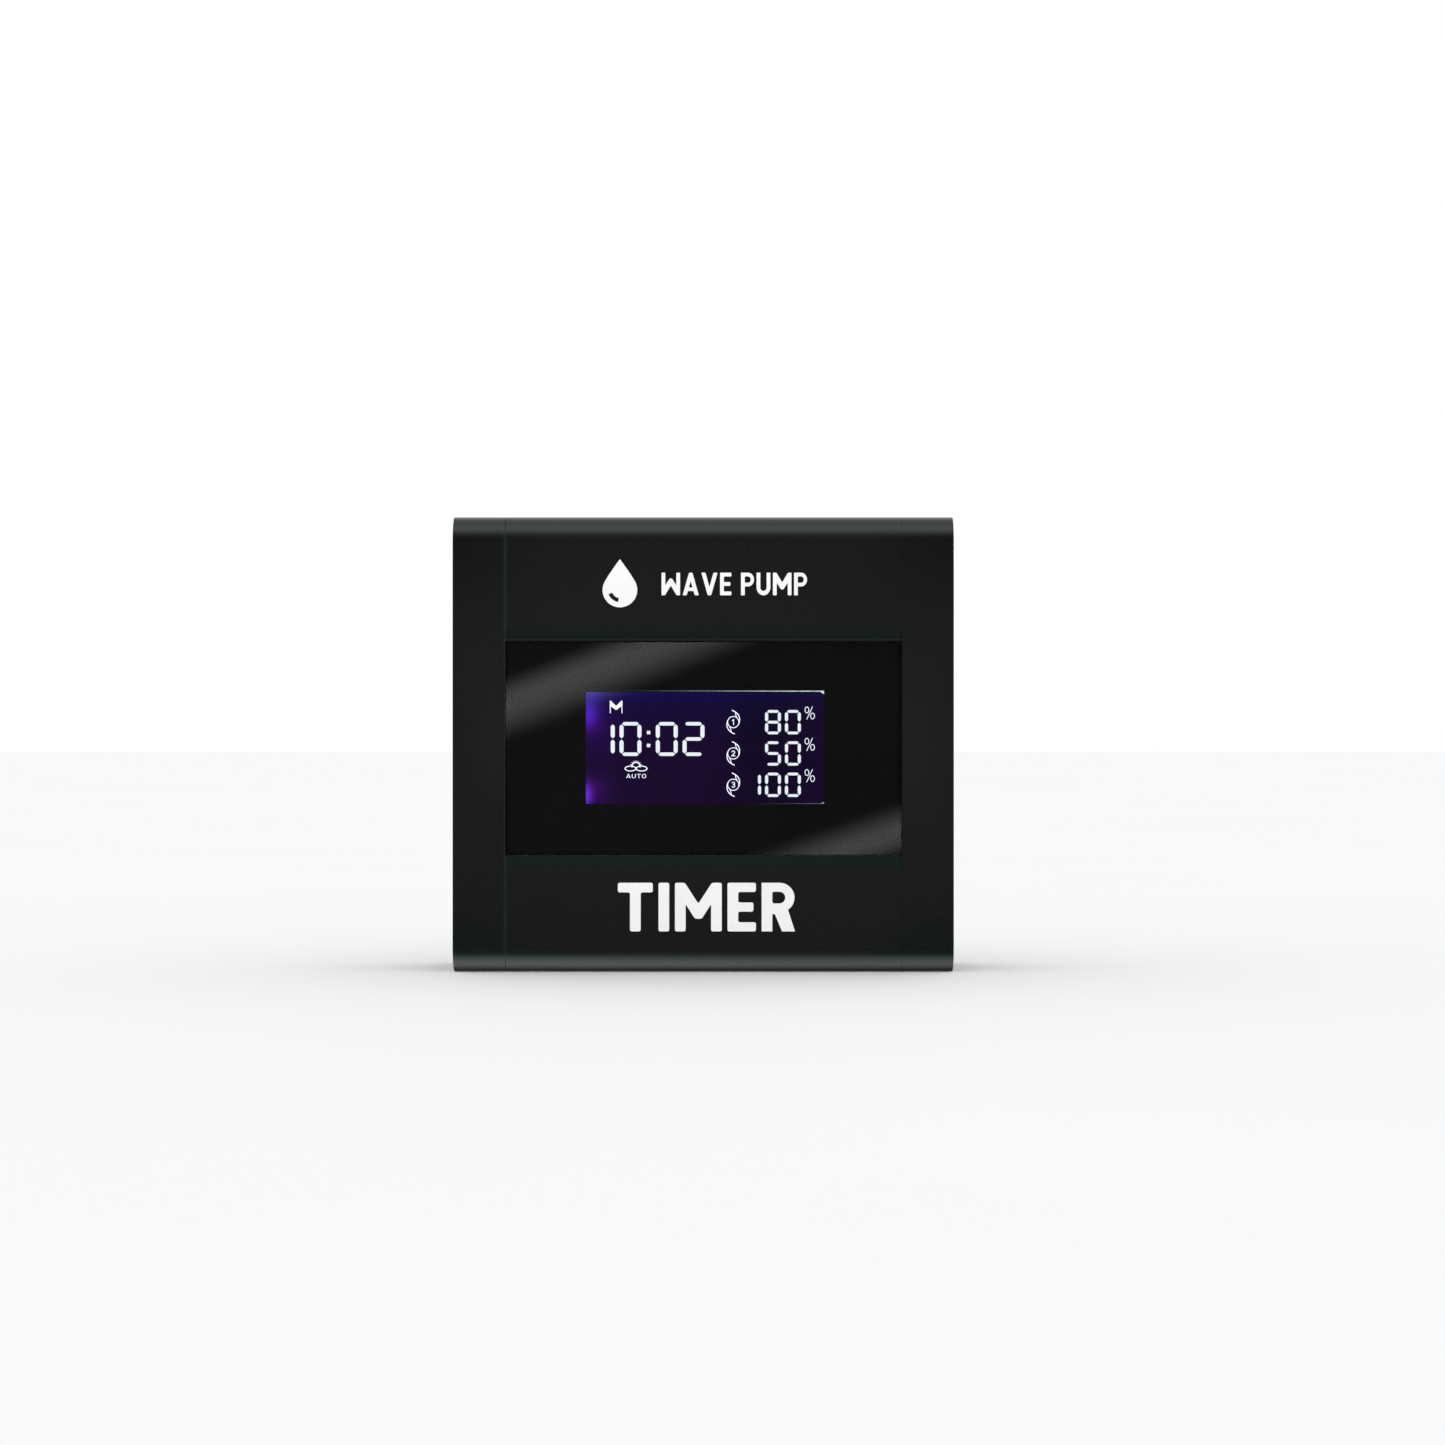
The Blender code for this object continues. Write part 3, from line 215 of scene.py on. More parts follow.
def case_material():
    """Satin black, with painted light: a green tint painted on the slopes above and below the window and
    along the left seam, a painted highlight line at the left seam, and painted lighter and darker patches on
    the front.
    """
    graph = material("case_satin_painted_light")
    fine = graph.noise(5200)
    x, y, z = graph.axes()
    low, high = OPENING
    below = graph.band(z, (low - LIP_RAMP - 0.6, low - LIP_RAMP + 1.2), (low, low + 0.3))
    above = graph.band(z, (high + 0.4, high + 0.6), (high + LIP_RAMP - 1.2, high + LIP_RAMP + 0.6))
    near_front = graph.ramp(y, (FRONT + 0.6) * MM, (FRONT + 1) * MM, 1, 0)
    between = graph.ramp(graph.math("ABSOLUTE", x), SLOPE_ENDS[0] * MM, SLOPE_ENDS[1] * MM, 1, 0)
    slope = graph.times(graph.math("ADD", below, above), between)
    # Painted light: a green tint on the slopes and beside the left seam.
    green = graph.times(graph.math("MAXIMUM", slope, graph.band(x, *SEAM_PAINTED_TINT, 0.8)), near_front)
    total = graph.mix(graph.noise(45), (0.0074, 0.0076, 0.0075), (0.0088, 0.0090, 0.0089))
    # Painted light and shade: each patch lightens or darkens the case's colour.
    for centre, half, change in PAINTED_SHADE_PATCHES:
        total = graph.add_scaled(total, change, graph.times(graph.patch((x, y, z), centre, half), near_front))
    total = graph.mix(green, total, (0.0034, 0.0117, 0.0089))
    # Painted highlight: a bright line along the left seam.
    line = graph.times(graph.band(x, *SEAM_PAINTED_HIGHLIGHT), near_front)
    return graph.finish({
        "Base Color": graph.mix(line, total, (0.0120, 0.0225, 0.0180)),
        "Roughness": graph.ramp(fine, 0.25, 0.75, 0.25, 0.33),
        "Normal": graph.bump(fine, 0.10, 0.01),
    })


def window_material():
    """Clear polished panel, faintly grey."""
    graph = material("window_clear_panel")
    return graph.finish({
        "Base Color": (0.84, 0.85, 0.87),
        "IOR": 1.49,
        "Transmission Weight": 1,
        "Roughness": graph.ramp(graph.noise(60, 5, (1, 1, 3)), 0.45, 0.80, 0, 0.006),
    })


def glowing(name, first, second, strength):
    """Light from the display, slightly mottled between two colours."""
    graph = material(name)
    return graph.finish({
        "Base Color": (0.02, 0.02, 0.02),
        "Roughness": 0.4,
        "Emission Strength": strength,
        "Emission Color": graph.mottle(900, 2, first, second),
    })


# Stray light over the display's ground: centre X and Z, half-widths in X and Z, and the light's colour.
GLOWS = (
    ((-23.6, 51.2), (2, 2.3), (0.055, 0.008, 0.36)),
    ((-23, 54), (2.2, 3.6), (0.010, 0.008, 0.12)),
    ((-22.6, 56.8), (3.6, 1.5), (0.030, 0.028, 0.20)),
    ((-23.9, 35.3), (1.35, 2.1), (0.130, 0.026, 0.62)),
    ((-23.5, 36), (4.2, 3.2), (0.012, 0.001, 0.052)),
    ((-23, 50), (5.5, 6.5), (0.008, 0, 0.044)),
    ((-10, 57), (20, 2), (-0.002, 0.0016, 0.036)),
    ((-6, 58), (20, 8), (-0.003, 0.0002, 0.016)),
    ((14, 50), (9, 30), (-0.0034, 0, -0.0072)),
    ((20, 57), (12, 2.6), (-0.001, 0.0006, 0.018)),
    ((-22.2, 36.6), (2.6, 2.2), (0.014, 0, 0.014)),
    ((-22.2, 49.3), (2.2, 2), (0.010, 0, 0)),
    ((-19.5, 56.5), (6.5, 2.2), (0.008, 0.003, 0.030)),
)


def display_material():
    """The display's ground: dark violet, bluer along its top, with patches of stray light on its left."""
    graph = material("display_ground")
    axes = graph.axes()
    total = graph.mottle(160, 3, (0.0056, 0.0003, 0.0180), (0.0072, 0.0004, 0.0215))
    for centre, half, colour in GLOWS:
        total = graph.add_scaled(total, colour, graph.patch(axes, centre, half))
    return graph.finish({
        "Base Color": (0.001, 0.0005, 0.002),
        "Specular IOR Level": 0,
        "Roughness": 0.5,
        "Emission Strength": 1.4,
        "Emission Color": total,
    })


def edge_light_material(name, low, high, levels):
    """A glowing strip painted as the highlight along the glass's edge, growing from its left to its right."""
    graph = material(name)
    along = graph.ramp(graph.axes()[0], low * MM, high * MM, *levels)
    uneven = graph.ramp(graph.noise(700, 2, (1, 0.1, 0.1)), 0.3, 0.7, 0.65, 1.15)
    return graph.finish({
        "Base Color": (0.05, 0.05, 0.06),
        "Roughness": 0.3,
        "Emission Strength": 1.2,
        "Emission Color": graph.mix(graph.times(along, uneven), (0, 0, 0), (0.80, 0.92, 1)),
    })


def board_material():
    """Green solder mask over tracks, with tinned pads."""
    graph = material("circuit_board")
    tracks = graph.node("TexVoronoi", {"Scale": 260, "Vector": graph.where()}, feature="DISTANCE_TO_EDGE")
    dots = graph.node("TexVoronoi", {"Scale": 420, "Vector": graph.where()})
    line = graph.ramp(tracks.outputs["Distance"], 0.02, 0.05, 1, 0)
    pad = graph.ramp(dots.outputs["Distance"], 0.10, 0.13, 1, 0)
    green = graph.mix(line, (0.006, 0.075, 0.028), (0.012, 0.13, 0.05))
    return graph.finish({
        "Base Color": graph.mix(pad, green, (0.6, 0.6, 0.58)),
        "Metallic": pad,
        "Roughness": graph.ramp(graph.noise(900), 0.3, 0.7, 0.3, 0.42),
        "Normal": graph.bump(line, 0.3, 0.04),
    })


LOOKS = {
    "case": case_material(),
    "window": window_material(),
    "mask": surface("mask_film", (0.0030, 0.0030, 0.0030), 0.6, bump=0.05),
    "glass": surface("display_glass", (0.006, 0.005, 0.010), 0.12, bump=0.02),
    "frame": surface("display_frame", (0.010, 0.010, 0.010), 0.55),
    "diffuser": surface("milky_diffuser", (0.72, 0.74, 0.80), 0.45, vary=0.05),
    "board": board_material(),
    "chip": surface("moulded_chip", (0.016, 0.016, 0.018), 0.55, grain=5000),
    "black_steel": surface("black_oxide_steel", (0.045, 0.045, 0.047), 0.34, metal=1, vary=0.25),
    "steel": surface("bright_steel", (0.58, 0.58, 0.56), 0.28, metal=1, vary=0.12),
    "cell": surface("cell_nickel", (0.62, 0.62, 0.60), 0.36, metal=0.5, vary=0.10),
    "gold": surface("gold_plate", (0.78, 0.56, 0.22), 0.24, metal=1, vary=0.12),
    "socket": surface("socket_moulding", (0.012, 0.012, 0.0125), 0.38, grain=4200),
    "insert": surface("contact_insert", (0.020, 0.020, 0.021), 0.5, grain=4200),
    "rubber": surface("rubber_matt", (0.014, 0.014, 0.014), 0.85, bump=0.4, depth=0.04),
    "button": surface("button_grey_plastic", (0.085, 0.086, 0.09), 0.46, grain=4200),
    "wrap": surface("capacitor_wrap", (0.012, 0.02, 0.075), 0.35),
    "fuse_glass": surface("fuse_glass_body", (0.6, 0.62, 0.62), 0.12, bump=0.02),
    "ink": surface("white_print", (0.94, 0.94, 0.94), 0.5, vary=0.02, grain=3000, bump=0.1),
    "grey_ink": surface("grey_print", (0.42, 0.42, 0.43), 0.5, vary=0.04, grain=3000, bump=0.1),
    "ground": display_material(),
    "segments": glowing("display_segments_light", (0.84, 0.95, 1), (0.98, 1, 1), 1.15),
    "symbols": glowing("display_symbols_light", (0.84, 0.87, 1), (0.92, 0.94, 1), 1.55),
}


def arc(centre, radius, start, end, steps):
    """Points of an arc, in degrees, both ends included."""
    angles = [math.radians(start + (end - start) * i / steps) for i in range(steps + 1)]
    return [(centre[0] + radius * math.cos(a), centre[1] + radius * math.sin(a)) for a in angles]


def circle(centre, radius, steps=64):
    return arc(centre, radius, 0, 360 - 360 / steps, steps - 1)


def rounded(low, high, radius, steps=24):
    """A rectangle with round corners."""
    x0, y0, x1, y1 = low[0] + radius, low[1] + radius, high[0] - radius, high[1] - radius
    corners = enumerate(((x1, y0), (x1, y1), (x0, y1), (x0, y0)), -1)
    return [point for i, centre in corners for point in arc(centre, radius, 90 * i, 90 * i + 90, steps)]


def rectangle(x0, y0, x1, y1):
    return [(x0, y0), (x1, y0), (x1, y1), (x0, y1)]


def linked(name, shape, look):
    """An object made of a bmesh, in the scene."""
    mesh = bpy.data.meshes.new(name)
    shape.to_mesh(mesh)
    shape.free()
    mesh.materials.append(look)
    made = bpy.data.objects.new(name, mesh)
    bpy.context.scene.collection.objects.link(made)
    return made


def as_object(name, shape, look):
    """Turns a bmesh in millimetres into an object in metres, shaded smooth up to edges of 30 degrees."""
    bmesh.ops.recalc_face_normals(shape, faces=shape.faces)
    bmesh.ops.scale(shape, vec=(MM, MM, MM), verts=shape.verts)
    made = linked(name, shape, LOOKS[look])
    made.data.shade_smooth()
    made.data.set_sharp_from_angle(angle=math.radians(30))
    return made


def prism(name, outline, axis, low, high, look="case"):
    """An outline extruded along an axis. Its coordinates are on the other two axes, in X, Y, Z order."""
    index = "XYZ".index(axis)
    shape = bmesh.new()
    face = shape.faces.new([shape.verts.new((*point[:index], low, *point[index:])) for point in outline])
    grown = bmesh.ops.extrude_face_region(shape, geom=[face])
    moved = [item for item in grown["geom"] if isinstance(item, bmesh.types.BMVert)]
    travel = [high - low if i == index else 0 for i in range(3)]
    bmesh.ops.translate(shape, verts=moved, vec=travel)
    return as_object(name, shape, look)


def block(name, low, high, look="case"):
    return prism(name, rectangle(low[0], low[1], high[0], high[1]), "Z", low[2], high[2], look)


def turned(name, profile, place, look="case", steps=64):
    """A solid of revolution. The profile holds (radius, distance along the axis); place sets its +Z axis."""
    shape = bmesh.new()
    rings = []
    for radius, along in profile:
        count = steps if radius > 0 else 1
        angles = [math.tau * i / steps for i in range(count)]
        rings.append([shape.verts.new((radius * math.cos(a), radius * math.sin(a), along)) for a in angles])
    pairs = list(zip(rings, rings[1:]))
    if profile[0][0] > 0:
        pairs.append((rings[-1], rings[0]))
    for first, second in pairs:
        for i in range(steps):
            j = (i + 1) % steps
            corners = [first[i % len(first)], first[j % len(first)]]
            corners += [second[j % len(second)], second[i % len(second)]]
            shape.faces.new(list(dict.fromkeys(corners)))
    bmesh.ops.transform(shape, matrix=place, verts=shape.verts)
    return as_object(name, shape, look)


def inwards(side, z, y=None):
    """Places a turned shape on an end cap: its axis starts at the end face and runs into the case."""
    start = Matrix.Translation((side * END, MIDDLE if y is None else y, z))
    return start @ Matrix.Rotation(math.radians(-90 * side), 4, "Y")


def baked(made):
    """The mesh that an object's modifiers or curves make."""
    graph = bpy.context.evaluated_depsgraph_get()
    graph.update()
    return bpy.data.meshes.new_from_object(made.evaluated_get(graph))


def evaluated(made):
    """Applies an object's modifiers."""
    old, mesh = made.data, baked(made)
    made.modifiers.clear()
    made.data = mesh
    bpy.data.meshes.remove(old)
    mesh.name = made.name
    return made


def combine(target, others, operation):
    """Joins or cuts solids for good, and removes the ones that were used up."""
    for other in others:
        change = target.modifiers.new(other.name, "BOOLEAN")
        change.operation, change.solver, change.object = operation, "EXACT", other
    evaluated(target)
    for other in others:
        mesh = other.data
        bpy.data.objects.remove(other)
        bpy.data.meshes.remove(mesh)
    while len(target.data.materials) > 1:
        target.data.materials.pop()
    return target


def cut(target, *others):
    return combine(target, others, "DIFFERENCE")


def join(target, *others):
    return combine(target, others, "UNION")


def soften(made, width, segments=3, angle=32, seams=()):
    """Rounds a solid's sharp edges, and keeps its flat faces flat.

    seams holds the X of each seam, and the share of the width used on the edges there.
    """
    clean = bmesh.new()
    clean.from_mesh(made.data)
    bmesh.ops.remove_doubles(clean, verts=clean.verts, dist=0.0005 * MM)
    bmesh.ops.dissolve_limit(clean, angle_limit=math.radians(0.2), verts=clean.verts, edges=clean.edges)
    weight = clean.edges.layers.float.new("bevel_weight_edge")
    for edge in clean.edges:
        edge.smooth = True
        if edge.calc_face_angle(0) > math.radians(angle):
            edge[weight] = 1.0
            for x, share in seams:
                if all(abs(vertex.co.x / MM - x) < 0.02 for vertex in edge.verts):
                    edge[weight] = share
    for face in clean.faces:
        face.smooth = True
    clean.to_mesh(made.data)
    clean.free()
    bevel = made.modifiers.new("softened", "BEVEL")
    bevel.width = width * MM
    bevel.segments = segments
    bevel.limit_method = "WEIGHT"
    bevel.miter_outer = "MITER_ARC"
    weighted = made.modifiers.new("flat faces", "WEIGHTED_NORMAL")
    weighted.keep_sharp = False
    return evaluated(made)


def show(made, slot, *nodes, body="case"):
    """A finished piece, the CAD nodes that it stands for, which it hides, and what it moves with. Its
    finish's name, slot, is not used.
    """
    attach(made, body)
    if nodes:
        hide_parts(*nodes)


def lip(edge, outwards):
    """The window lip from its front edge to the inner wall, as (depth, height). The upper one has a bead."""
    front = [(LIP_SET_BACK, edge), (1.4, edge)]
    if outwards > 0:
        bead = ((0.10, 0.60), (0, 0.36), (-0.09, 0.10), (-0.09, -0.08), (1.4 - LIP_SET_BACK, -0.08))
        front = [(LIP_SET_BACK + depth, edge + height) for depth, height in bead]
    groove, notch, wall = [edge + outwards * reach for reach in (1.8, 3, 4.6)]
    return front + [(1.4, groove), (2.8, groove), (2.8, edge), (4, edge), (4, notch), (WALL, wall)]


def inner_edge():
    """The sleeve's inside along its floor, from the front wall to the rear wall, with two board rails."""
    reach = 2 * SCREW_INSET + 3 * math.sqrt(2)
    return [
        (WALL, reach - WALL), (reach - WALL, WALL), (19.1, WALL), (19.1, 4.4), (20.3, 4.4), (20.3, WALL),
        (22.5, WALL), (22.5, 4.4), (23.7, 4.4), (23.7, reach - (DEPTH - 23.7)),
        (DEPTH - REAR_WALL, reach - REAR_WALL),
    ]


def rear_grooves():
    """Ten cooling grooves, 1 mm deep, from the top down."""
    points = []
    for i in reversed(range(10)):
        centre = 24 + 4 * i
        points += [(DEPTH, centre + 0.8), (DEPTH - 1, centre + 0.5)]
        points += [(DEPTH - 1, centre - 0.5), (DEPTH, centre - 0.8)]
    return points


def sleeve_outline():
    """The sleeve's section: round its outside from the upper lip to the lower one, and back inside."""
    near, far = CORNER, DEPTH - CORNER
    low, high = CORNER, HEIGHT - CORNER
    floor = inner_edge()
    points = [(0, OPENING[1] + LIP_RAMP)]
    points += arc((near, high), CORNER, 179, 90, 28) + arc((far, high), CORNER, 90, 0, 28) + rear_grooves()
    points += arc((far, low), CORNER, 0, -90, 28) + arc((near, low), CORNER, -90, -179, 28)
    points += [(0, OPENING[0] - LIP_RAMP)] + lip(OPENING[0], -1) + floor
    points += [(depth, HEIGHT - height) for depth, height in reversed(floor)] + lip(OPENING[1], 1)[::-1]
    return [(FRONT + max(depth, SKIN), height) for depth, height in points]


def keyhole_outline(x):
    """A round opening for a screw's head, under a slot for its shank."""
    head, slot = 4.25, 2.4
    half_angle = math.degrees(math.asin(slot / head))
    opening = arc((x, 71), head, 90 + half_angle, 450 - half_angle, 48)
    return opening + arc((x, 77), slot, 0, 180, 24)


def corner_places():
    """The (Y, Z) of the four screws of a cap."""
    ys = (FRONT + SCREW_INSET, REAR - SCREW_INSET)
    zs = (SCREW_INSET, HEIGHT - SCREW_INSET)
    return [(y, z) for z in zs for y in ys]


# The sleeve's and the window's ends, and where each cap starts. The seams are 0.03 mm wide.
SLEEVE_SPAN = (-39.46, 39.62)
WINDOW_SPAN = (-39.43, 39.60)
CAP_STARTS = {-1: 39.49, 1: 39.65}


def make_sleeve():
    sleeve = prism("case_sleeve", sleeve_outline(), "X", *SLEEVE_SPAN)
    cut(sleeve, *[prism("keyhole", keyhole_outline(x), "Y", REAR - 5, REAR + 2) for x in (-25, 25)])
    seams = ((SLEEVE_SPAN[0], 0.5), (SLEEVE_SPAN[1], 0.15))
    show(soften(sleeve, 0.12, 2, seams=seams), "case_black", "housing_sleeve")


def slab(name, outline, side, near, far):
    """A prism along X on one side of the case, between two distances from its middle."""
    return prism(name, outline, "X", *sorted((side * near, side * far)))


def cap_outline(inset):
    low, high = (FRONT + max(inset, SKIN), inset), (REAR - inset, HEIGHT - inset)
    return rounded(low, high, CORNER - inset, 28)


def cap_cavity():
    """A cap's inside, with its corners left solid for the screws."""
    y0, y1, z0, z1 = FRONT + WALL, REAR - WALL, WALL, HEIGHT - WALL
    reach = 2 * SCREW_INSET + 3 * math.sqrt(2) - 2 * WALL
    return [
        (y0 + reach, z0), (y1 - reach, z0), (y1, z0 + reach), (y1, z1 - reach),
        (y1 - reach, z1), (y0 + reach, z1), (y0, z1 - reach), (y0, z0 + reach),
    ]


# The tray's body and face, as width and thickness, its length behind its face, and its cell's middle.
TRAY_BODY = (24, 4.8)
TRAY_FACE = (28, 6.8)
TRAY_LENGTH = 26.6
CELL_X = -34.3


def tray_section(size, margin, radius):
    """The outline of the tray or its face, or with a margin that of its opening."""
    width, thickness = size
    low = (MIDDLE - thickness / 2 - margin, TRAY_Z - width / 2 - margin)
    high = (MIDDLE + thickness / 2 + margin, TRAY_Z + width / 2 + margin)
    return rounded(low, high, radius, 8)


def bore_cutter(side, z, radius):
    profile = [(0, -3), (radius, -3), (radius, 5), (0, 5)]
    return turned("bore", profile, inwards(side, z))


def make_cap(side):
    """An end cap with the holes of its side."""
    word = "right" if side > 0 else "left"
    start, end = CAP_STARTS[side], END - SKIN
    cap = slab(f"{word}_cap", cap_outline(0), side, start, end)
    tools = [slab("hollow", cap_cavity(), side, start - 3, END - END_WALL)]
    tools.append(slab("rebate", cap_outline(0.9), side, start - 3, start + 1.2))
    sink = [(0, -3), (3.1, -3), (3.1, 0.7), (1.7, 2.1), (1.7, 14), (0, 14)]
    tools += [turned("sink", sink, inwards(side, z, y), steps=48) for y, z in corner_places()]
    if side > 0:
        tools += [bore_cutter(1, z, 6.3) for z in SOCKET_HEIGHTS]
    else:
        tools += [bore_cutter(-1, JACK_Z, 5.8), bore_cutter(-1, BUTTON_Z, 3.3)]
        tools.append(slab("slot", tray_section(TRAY_BODY, 0.3, 0.5), side, END - 5, END + 3))
        tools.append(slab("recess", tray_section(TRAY_FACE, 0.3, 1), side, END - 1.2, END + 3))
    cut(cap, *tools)
    seams = ((start, 0.1 if side > 0 else 0.4),)
    show(soften(cap, 0.16, seams=seams), "case_black", f"{word}_end_cap")


def make_screws():
    """Countersunk screws with a cross recess, each turned a little differently."""
    profile = [
        (0, 0.22), (2.45, 0.24), (2.62, 0.30), (2.7, 0.42), (2.7, 0.55), (1.4, 1.85), (1.4, 16.6),
        (0.9, 17.6), (0, 18),
    ]
    for side, word in ((-1, "left"), (1, "right")):
        for number, (y, z) in enumerate(corner_places(), 1):
            screw = turned(f"{word}_screw_{number}", profile, inwards(side, z, y), "black_steel", 48)
            low, high = sorted((side * (END - 1.3), side * (END + 1)))
            turn = Matrix.Rotation(0.35 + 0.9 * number + 0.4 * side, 4, "X")
            place = Matrix.Translation((0, y * MM, z * MM)) @ turn
            bars = [block("bar", (low, -a, -b), (high, a, b)) for a, b in ((1.55, 0.38), (0.38, 1.55))]
            for bar in bars:
                bar.data.transform(place)
            cut(screw, *bars)
            show(soften(screw, 0.07, 2), "steel_black", f"{word}_cap_screw_{number}")


def make_pads():
    for node in ("upper_rear_pad", "lower_rear_pad"):
        low, high = span(node)
        outline = rounded((low.x, low.z), (high.x, high.z), 1.5, 12)
        pad = prism(f"{node}_soft", outline, "Y", low.y, high.y, "rubber")
        show(soften(pad, 0.3, 4), "rubber_black", node)


def make_window():
    """The clear panel, polished along its chamfered edges."""
    low, high = span("display_window")
    z0, z1 = OPENING[0] + 0.01, OPENING[1] - 0.09
    chamfer, tongue = 0.12, low.y + 1.2
    outline = [
        (low.y, z0 + chamfer), (low.y, z1 - chamfer), (low.y + chamfer, z1), (tongue, z1), (tongue, high.z),
        (high.y, high.z), (high.y, low.z), (tongue, low.z), (tongue, z0), (low.y + chamfer, z0),
    ]
    window = prism("window_panel", outline, "X", *WINDOW_SPAN, "window")
    show(soften(window, 0.04, 2, 25), "window_clear", "display_window")


LCD_LOW, LCD_HIGH = span("lcd_glass")
# The lit part's left, bottom, right and top. Its ground lies before the glass, and its signs before that.
LIT = (-23.5, 33.5, 24.3, 55.93)
LAYER = 0.03
GROUND_Y = LCD_LOW.y - 0.02 - LAYER
SIGNS_Y = GROUND_Y - 2 * LAYER


def flat(name, loops, look, front, thickness=LAYER):
    """A thin layer that faces the front: closed loops of (X, Z), where a loop inside another is a hole."""
    curve = bpy.data.curves.new(name, "CURVE")
    curve.dimensions = "2D"
    curve.fill_mode = "BOTH"
    curve.extrude = thickness / 2
    for loop in loops:
        spline = curve.splines.new("POLY")
        spline.points.add(len(loop) - 1)
        for point, (x, z) in zip(spline.points, loop):
            point.co = (x, z, 0, 1)
        spline.use_cyclic_u = True
    temporary = bpy.data.objects.new(name + "_curve", curve)
    bpy.context.scene.collection.objects.link(temporary)
    mesh = baked(temporary)
    bpy.data.objects.remove(temporary)
    shape = bmesh.new()
    shape.from_mesh(mesh)
    bpy.data.meshes.remove(mesh)
    bmesh.ops.remove_doubles(shape, verts=shape.verts, dist=0.0004)
    upright = Matrix.Translation((0, front + thickness / 2, 0)) @ Matrix.Rotation(math.radians(90), 4, "X")
    bmesh.ops.transform(shape, matrix=upright, verts=shape.verts)
    return as_object(name, shape, look)


def glyph(letter, stroke_width):
    """A plain block letter, ten high, as its width and its loops."""
    s, h = stroke_width, 10
    if letter in "MW":
        w = 9.4
        m = [(0, 0), (s, 0), (s, h - 4.4), (w / 2 - 0.32 * s, 2.6), (w / 2 + 0.32 * s, 2.6), (w - s, h - 4.4),
             (w - s, 0), (w, 0), (w, h), (w - 0.92 * s, h), (w / 2, h - 4.3), (0.92 * s, h), (0, h)]
        return w, [[(x, h - z) for x, z in m] if letter == "W" else m]
    if letter == "T":
        w = 7
        a, b = (w - s) / 2, (w + s) / 2
        bar = h - 0.92 * s
        return w, [[(a, 0), (b, 0), (b, bar), (w, bar), (w, h), (0, h), (0, bar), (a, bar)]]
    if letter == "I":
        return s, [[(0, 0), (s, 0), (s, h), (0, h)]]
    if letter == "E":
        w, b = 5.7, 0.88 * s
        low, high = (h - b) / 2, (h + b) / 2
        return w, [[(0, 0), (w, 0), (w, b), (s, b), (s, low), (w - 0.5, low), (w - 0.5, high), (s, high),
                    (s, h - b), (w, h - b), (w, h), (0, h)]]
    if letter in "AV":
        w, foot, tip = 8.2, 1.08 * s, 0.45 * s
        lean = (w / 2 - tip) / h
        peak = (w / 2, (w / 2 - foot) / lean)
        right = [(w - foot, 0), (w, 0), (w / 2 + tip, h), (w / 2 - tip, h)]
        if letter == "V":
            return w, [[(x, h - z) for x, z in [(0, 0), (foot, 0), peak] + right]]
        low, high = [(foot + lean * z, z) for z in (1.9, 1.9 + 0.8 * s)]
        outer = [(0, 0), (foot, 0), low, (w - low[0], low[1])] + right
        return w, [outer, [high, (w - high[0], high[1]), peak]]
    if letter == "U":
        r = 3.5
        return 2 * r, [[(0, h)] + arc((r, r), r, 180, 360, 20) + [(2 * r, h), (2 * r - s, h)]
                       + arc((r, r), r - s, 360, 180, 20) + [(s, h)]]
    if letter == "O":
        r = 3.6
        return 2 * r, [arc((r, h - r), q, 0, 180, 20) + arc((r, r), q, 180, 360, 20) for q in (r, r - s)]
    # Only P and R are left.
    r, w = 3.05, 6.6
    bowl = (w - r, h - r)
    hole = [(s, h - 2 * r + 0.86 * s)] + arc(bowl, r - 0.86 * s, -90, 90, 12) + [(s, h - 0.86 * s)]
    if letter == "P":
        return w, [[(0, 0), (s, 0), (s, h - 2 * r)] + arc(bowl, r, -90, 90, 20) + [(0, h)], hole]
    leg = [(0, 0), (s, 0), (s, 3.55), (s + 0.5, 3.55), (4.1, 0), (w + 0.1, 0)]
    return w, [leg + arc(bowl, r, -55, 90, 20) + [(0, h)], hole]


def words(text, low, high, stroke_width, gap=1.25, radius=0.4):
    """The loops of block letters, fitted between two (X, Z) corners."""
    loops, x = [], 0
    for letter in text:
        if letter == " ":
            x += 3.6
            continue
        width, letter_loops = glyph(letter, stroke_width)
        loops += [[(x + u, v) for u, v in loop] for loop in letter_loops]
        x += width + gap
    scale_x, scale_z = (high[0] - low[0]) / (x - gap), (high[1] - low[1]) / 10
    fitted = []
    for loop in loops:
        loop = round_off(loop, radius) if len(loop) < 20 else loop
        fitted.append([(low[0] + u * scale_x, low[1] + v * scale_z) for u, v in loop])
    return fitted


def round_off(points, radius, steps=3):
    """A polygon with each corner cut back and curved."""
    made = []
    for i, corner in enumerate(points):
        corner = Vector(corner)
        before = Vector(points[i - 1]) - corner
        after = Vector(points[(i + 1) % len(points)]) - corner
        start = corner + before.normalized() * min(radius, before.length / 2)
        end = corner + after.normalized() * min(radius, after.length / 2)
        for step in range(steps + 1):
            t = step / steps
            made.append(tuple(start * (1 - t) ** 2 + corner * 2 * t * (1 - t) + end * t**2))
    return made


# The lit strokes of a seven-stroke digit: a to f run clockwise from the top one, and g is the middle one.
DIGITS = {"0": "abcdef", "1": "bc", "2": "abged", "5": "afgcd", "8": "abcdefg"}


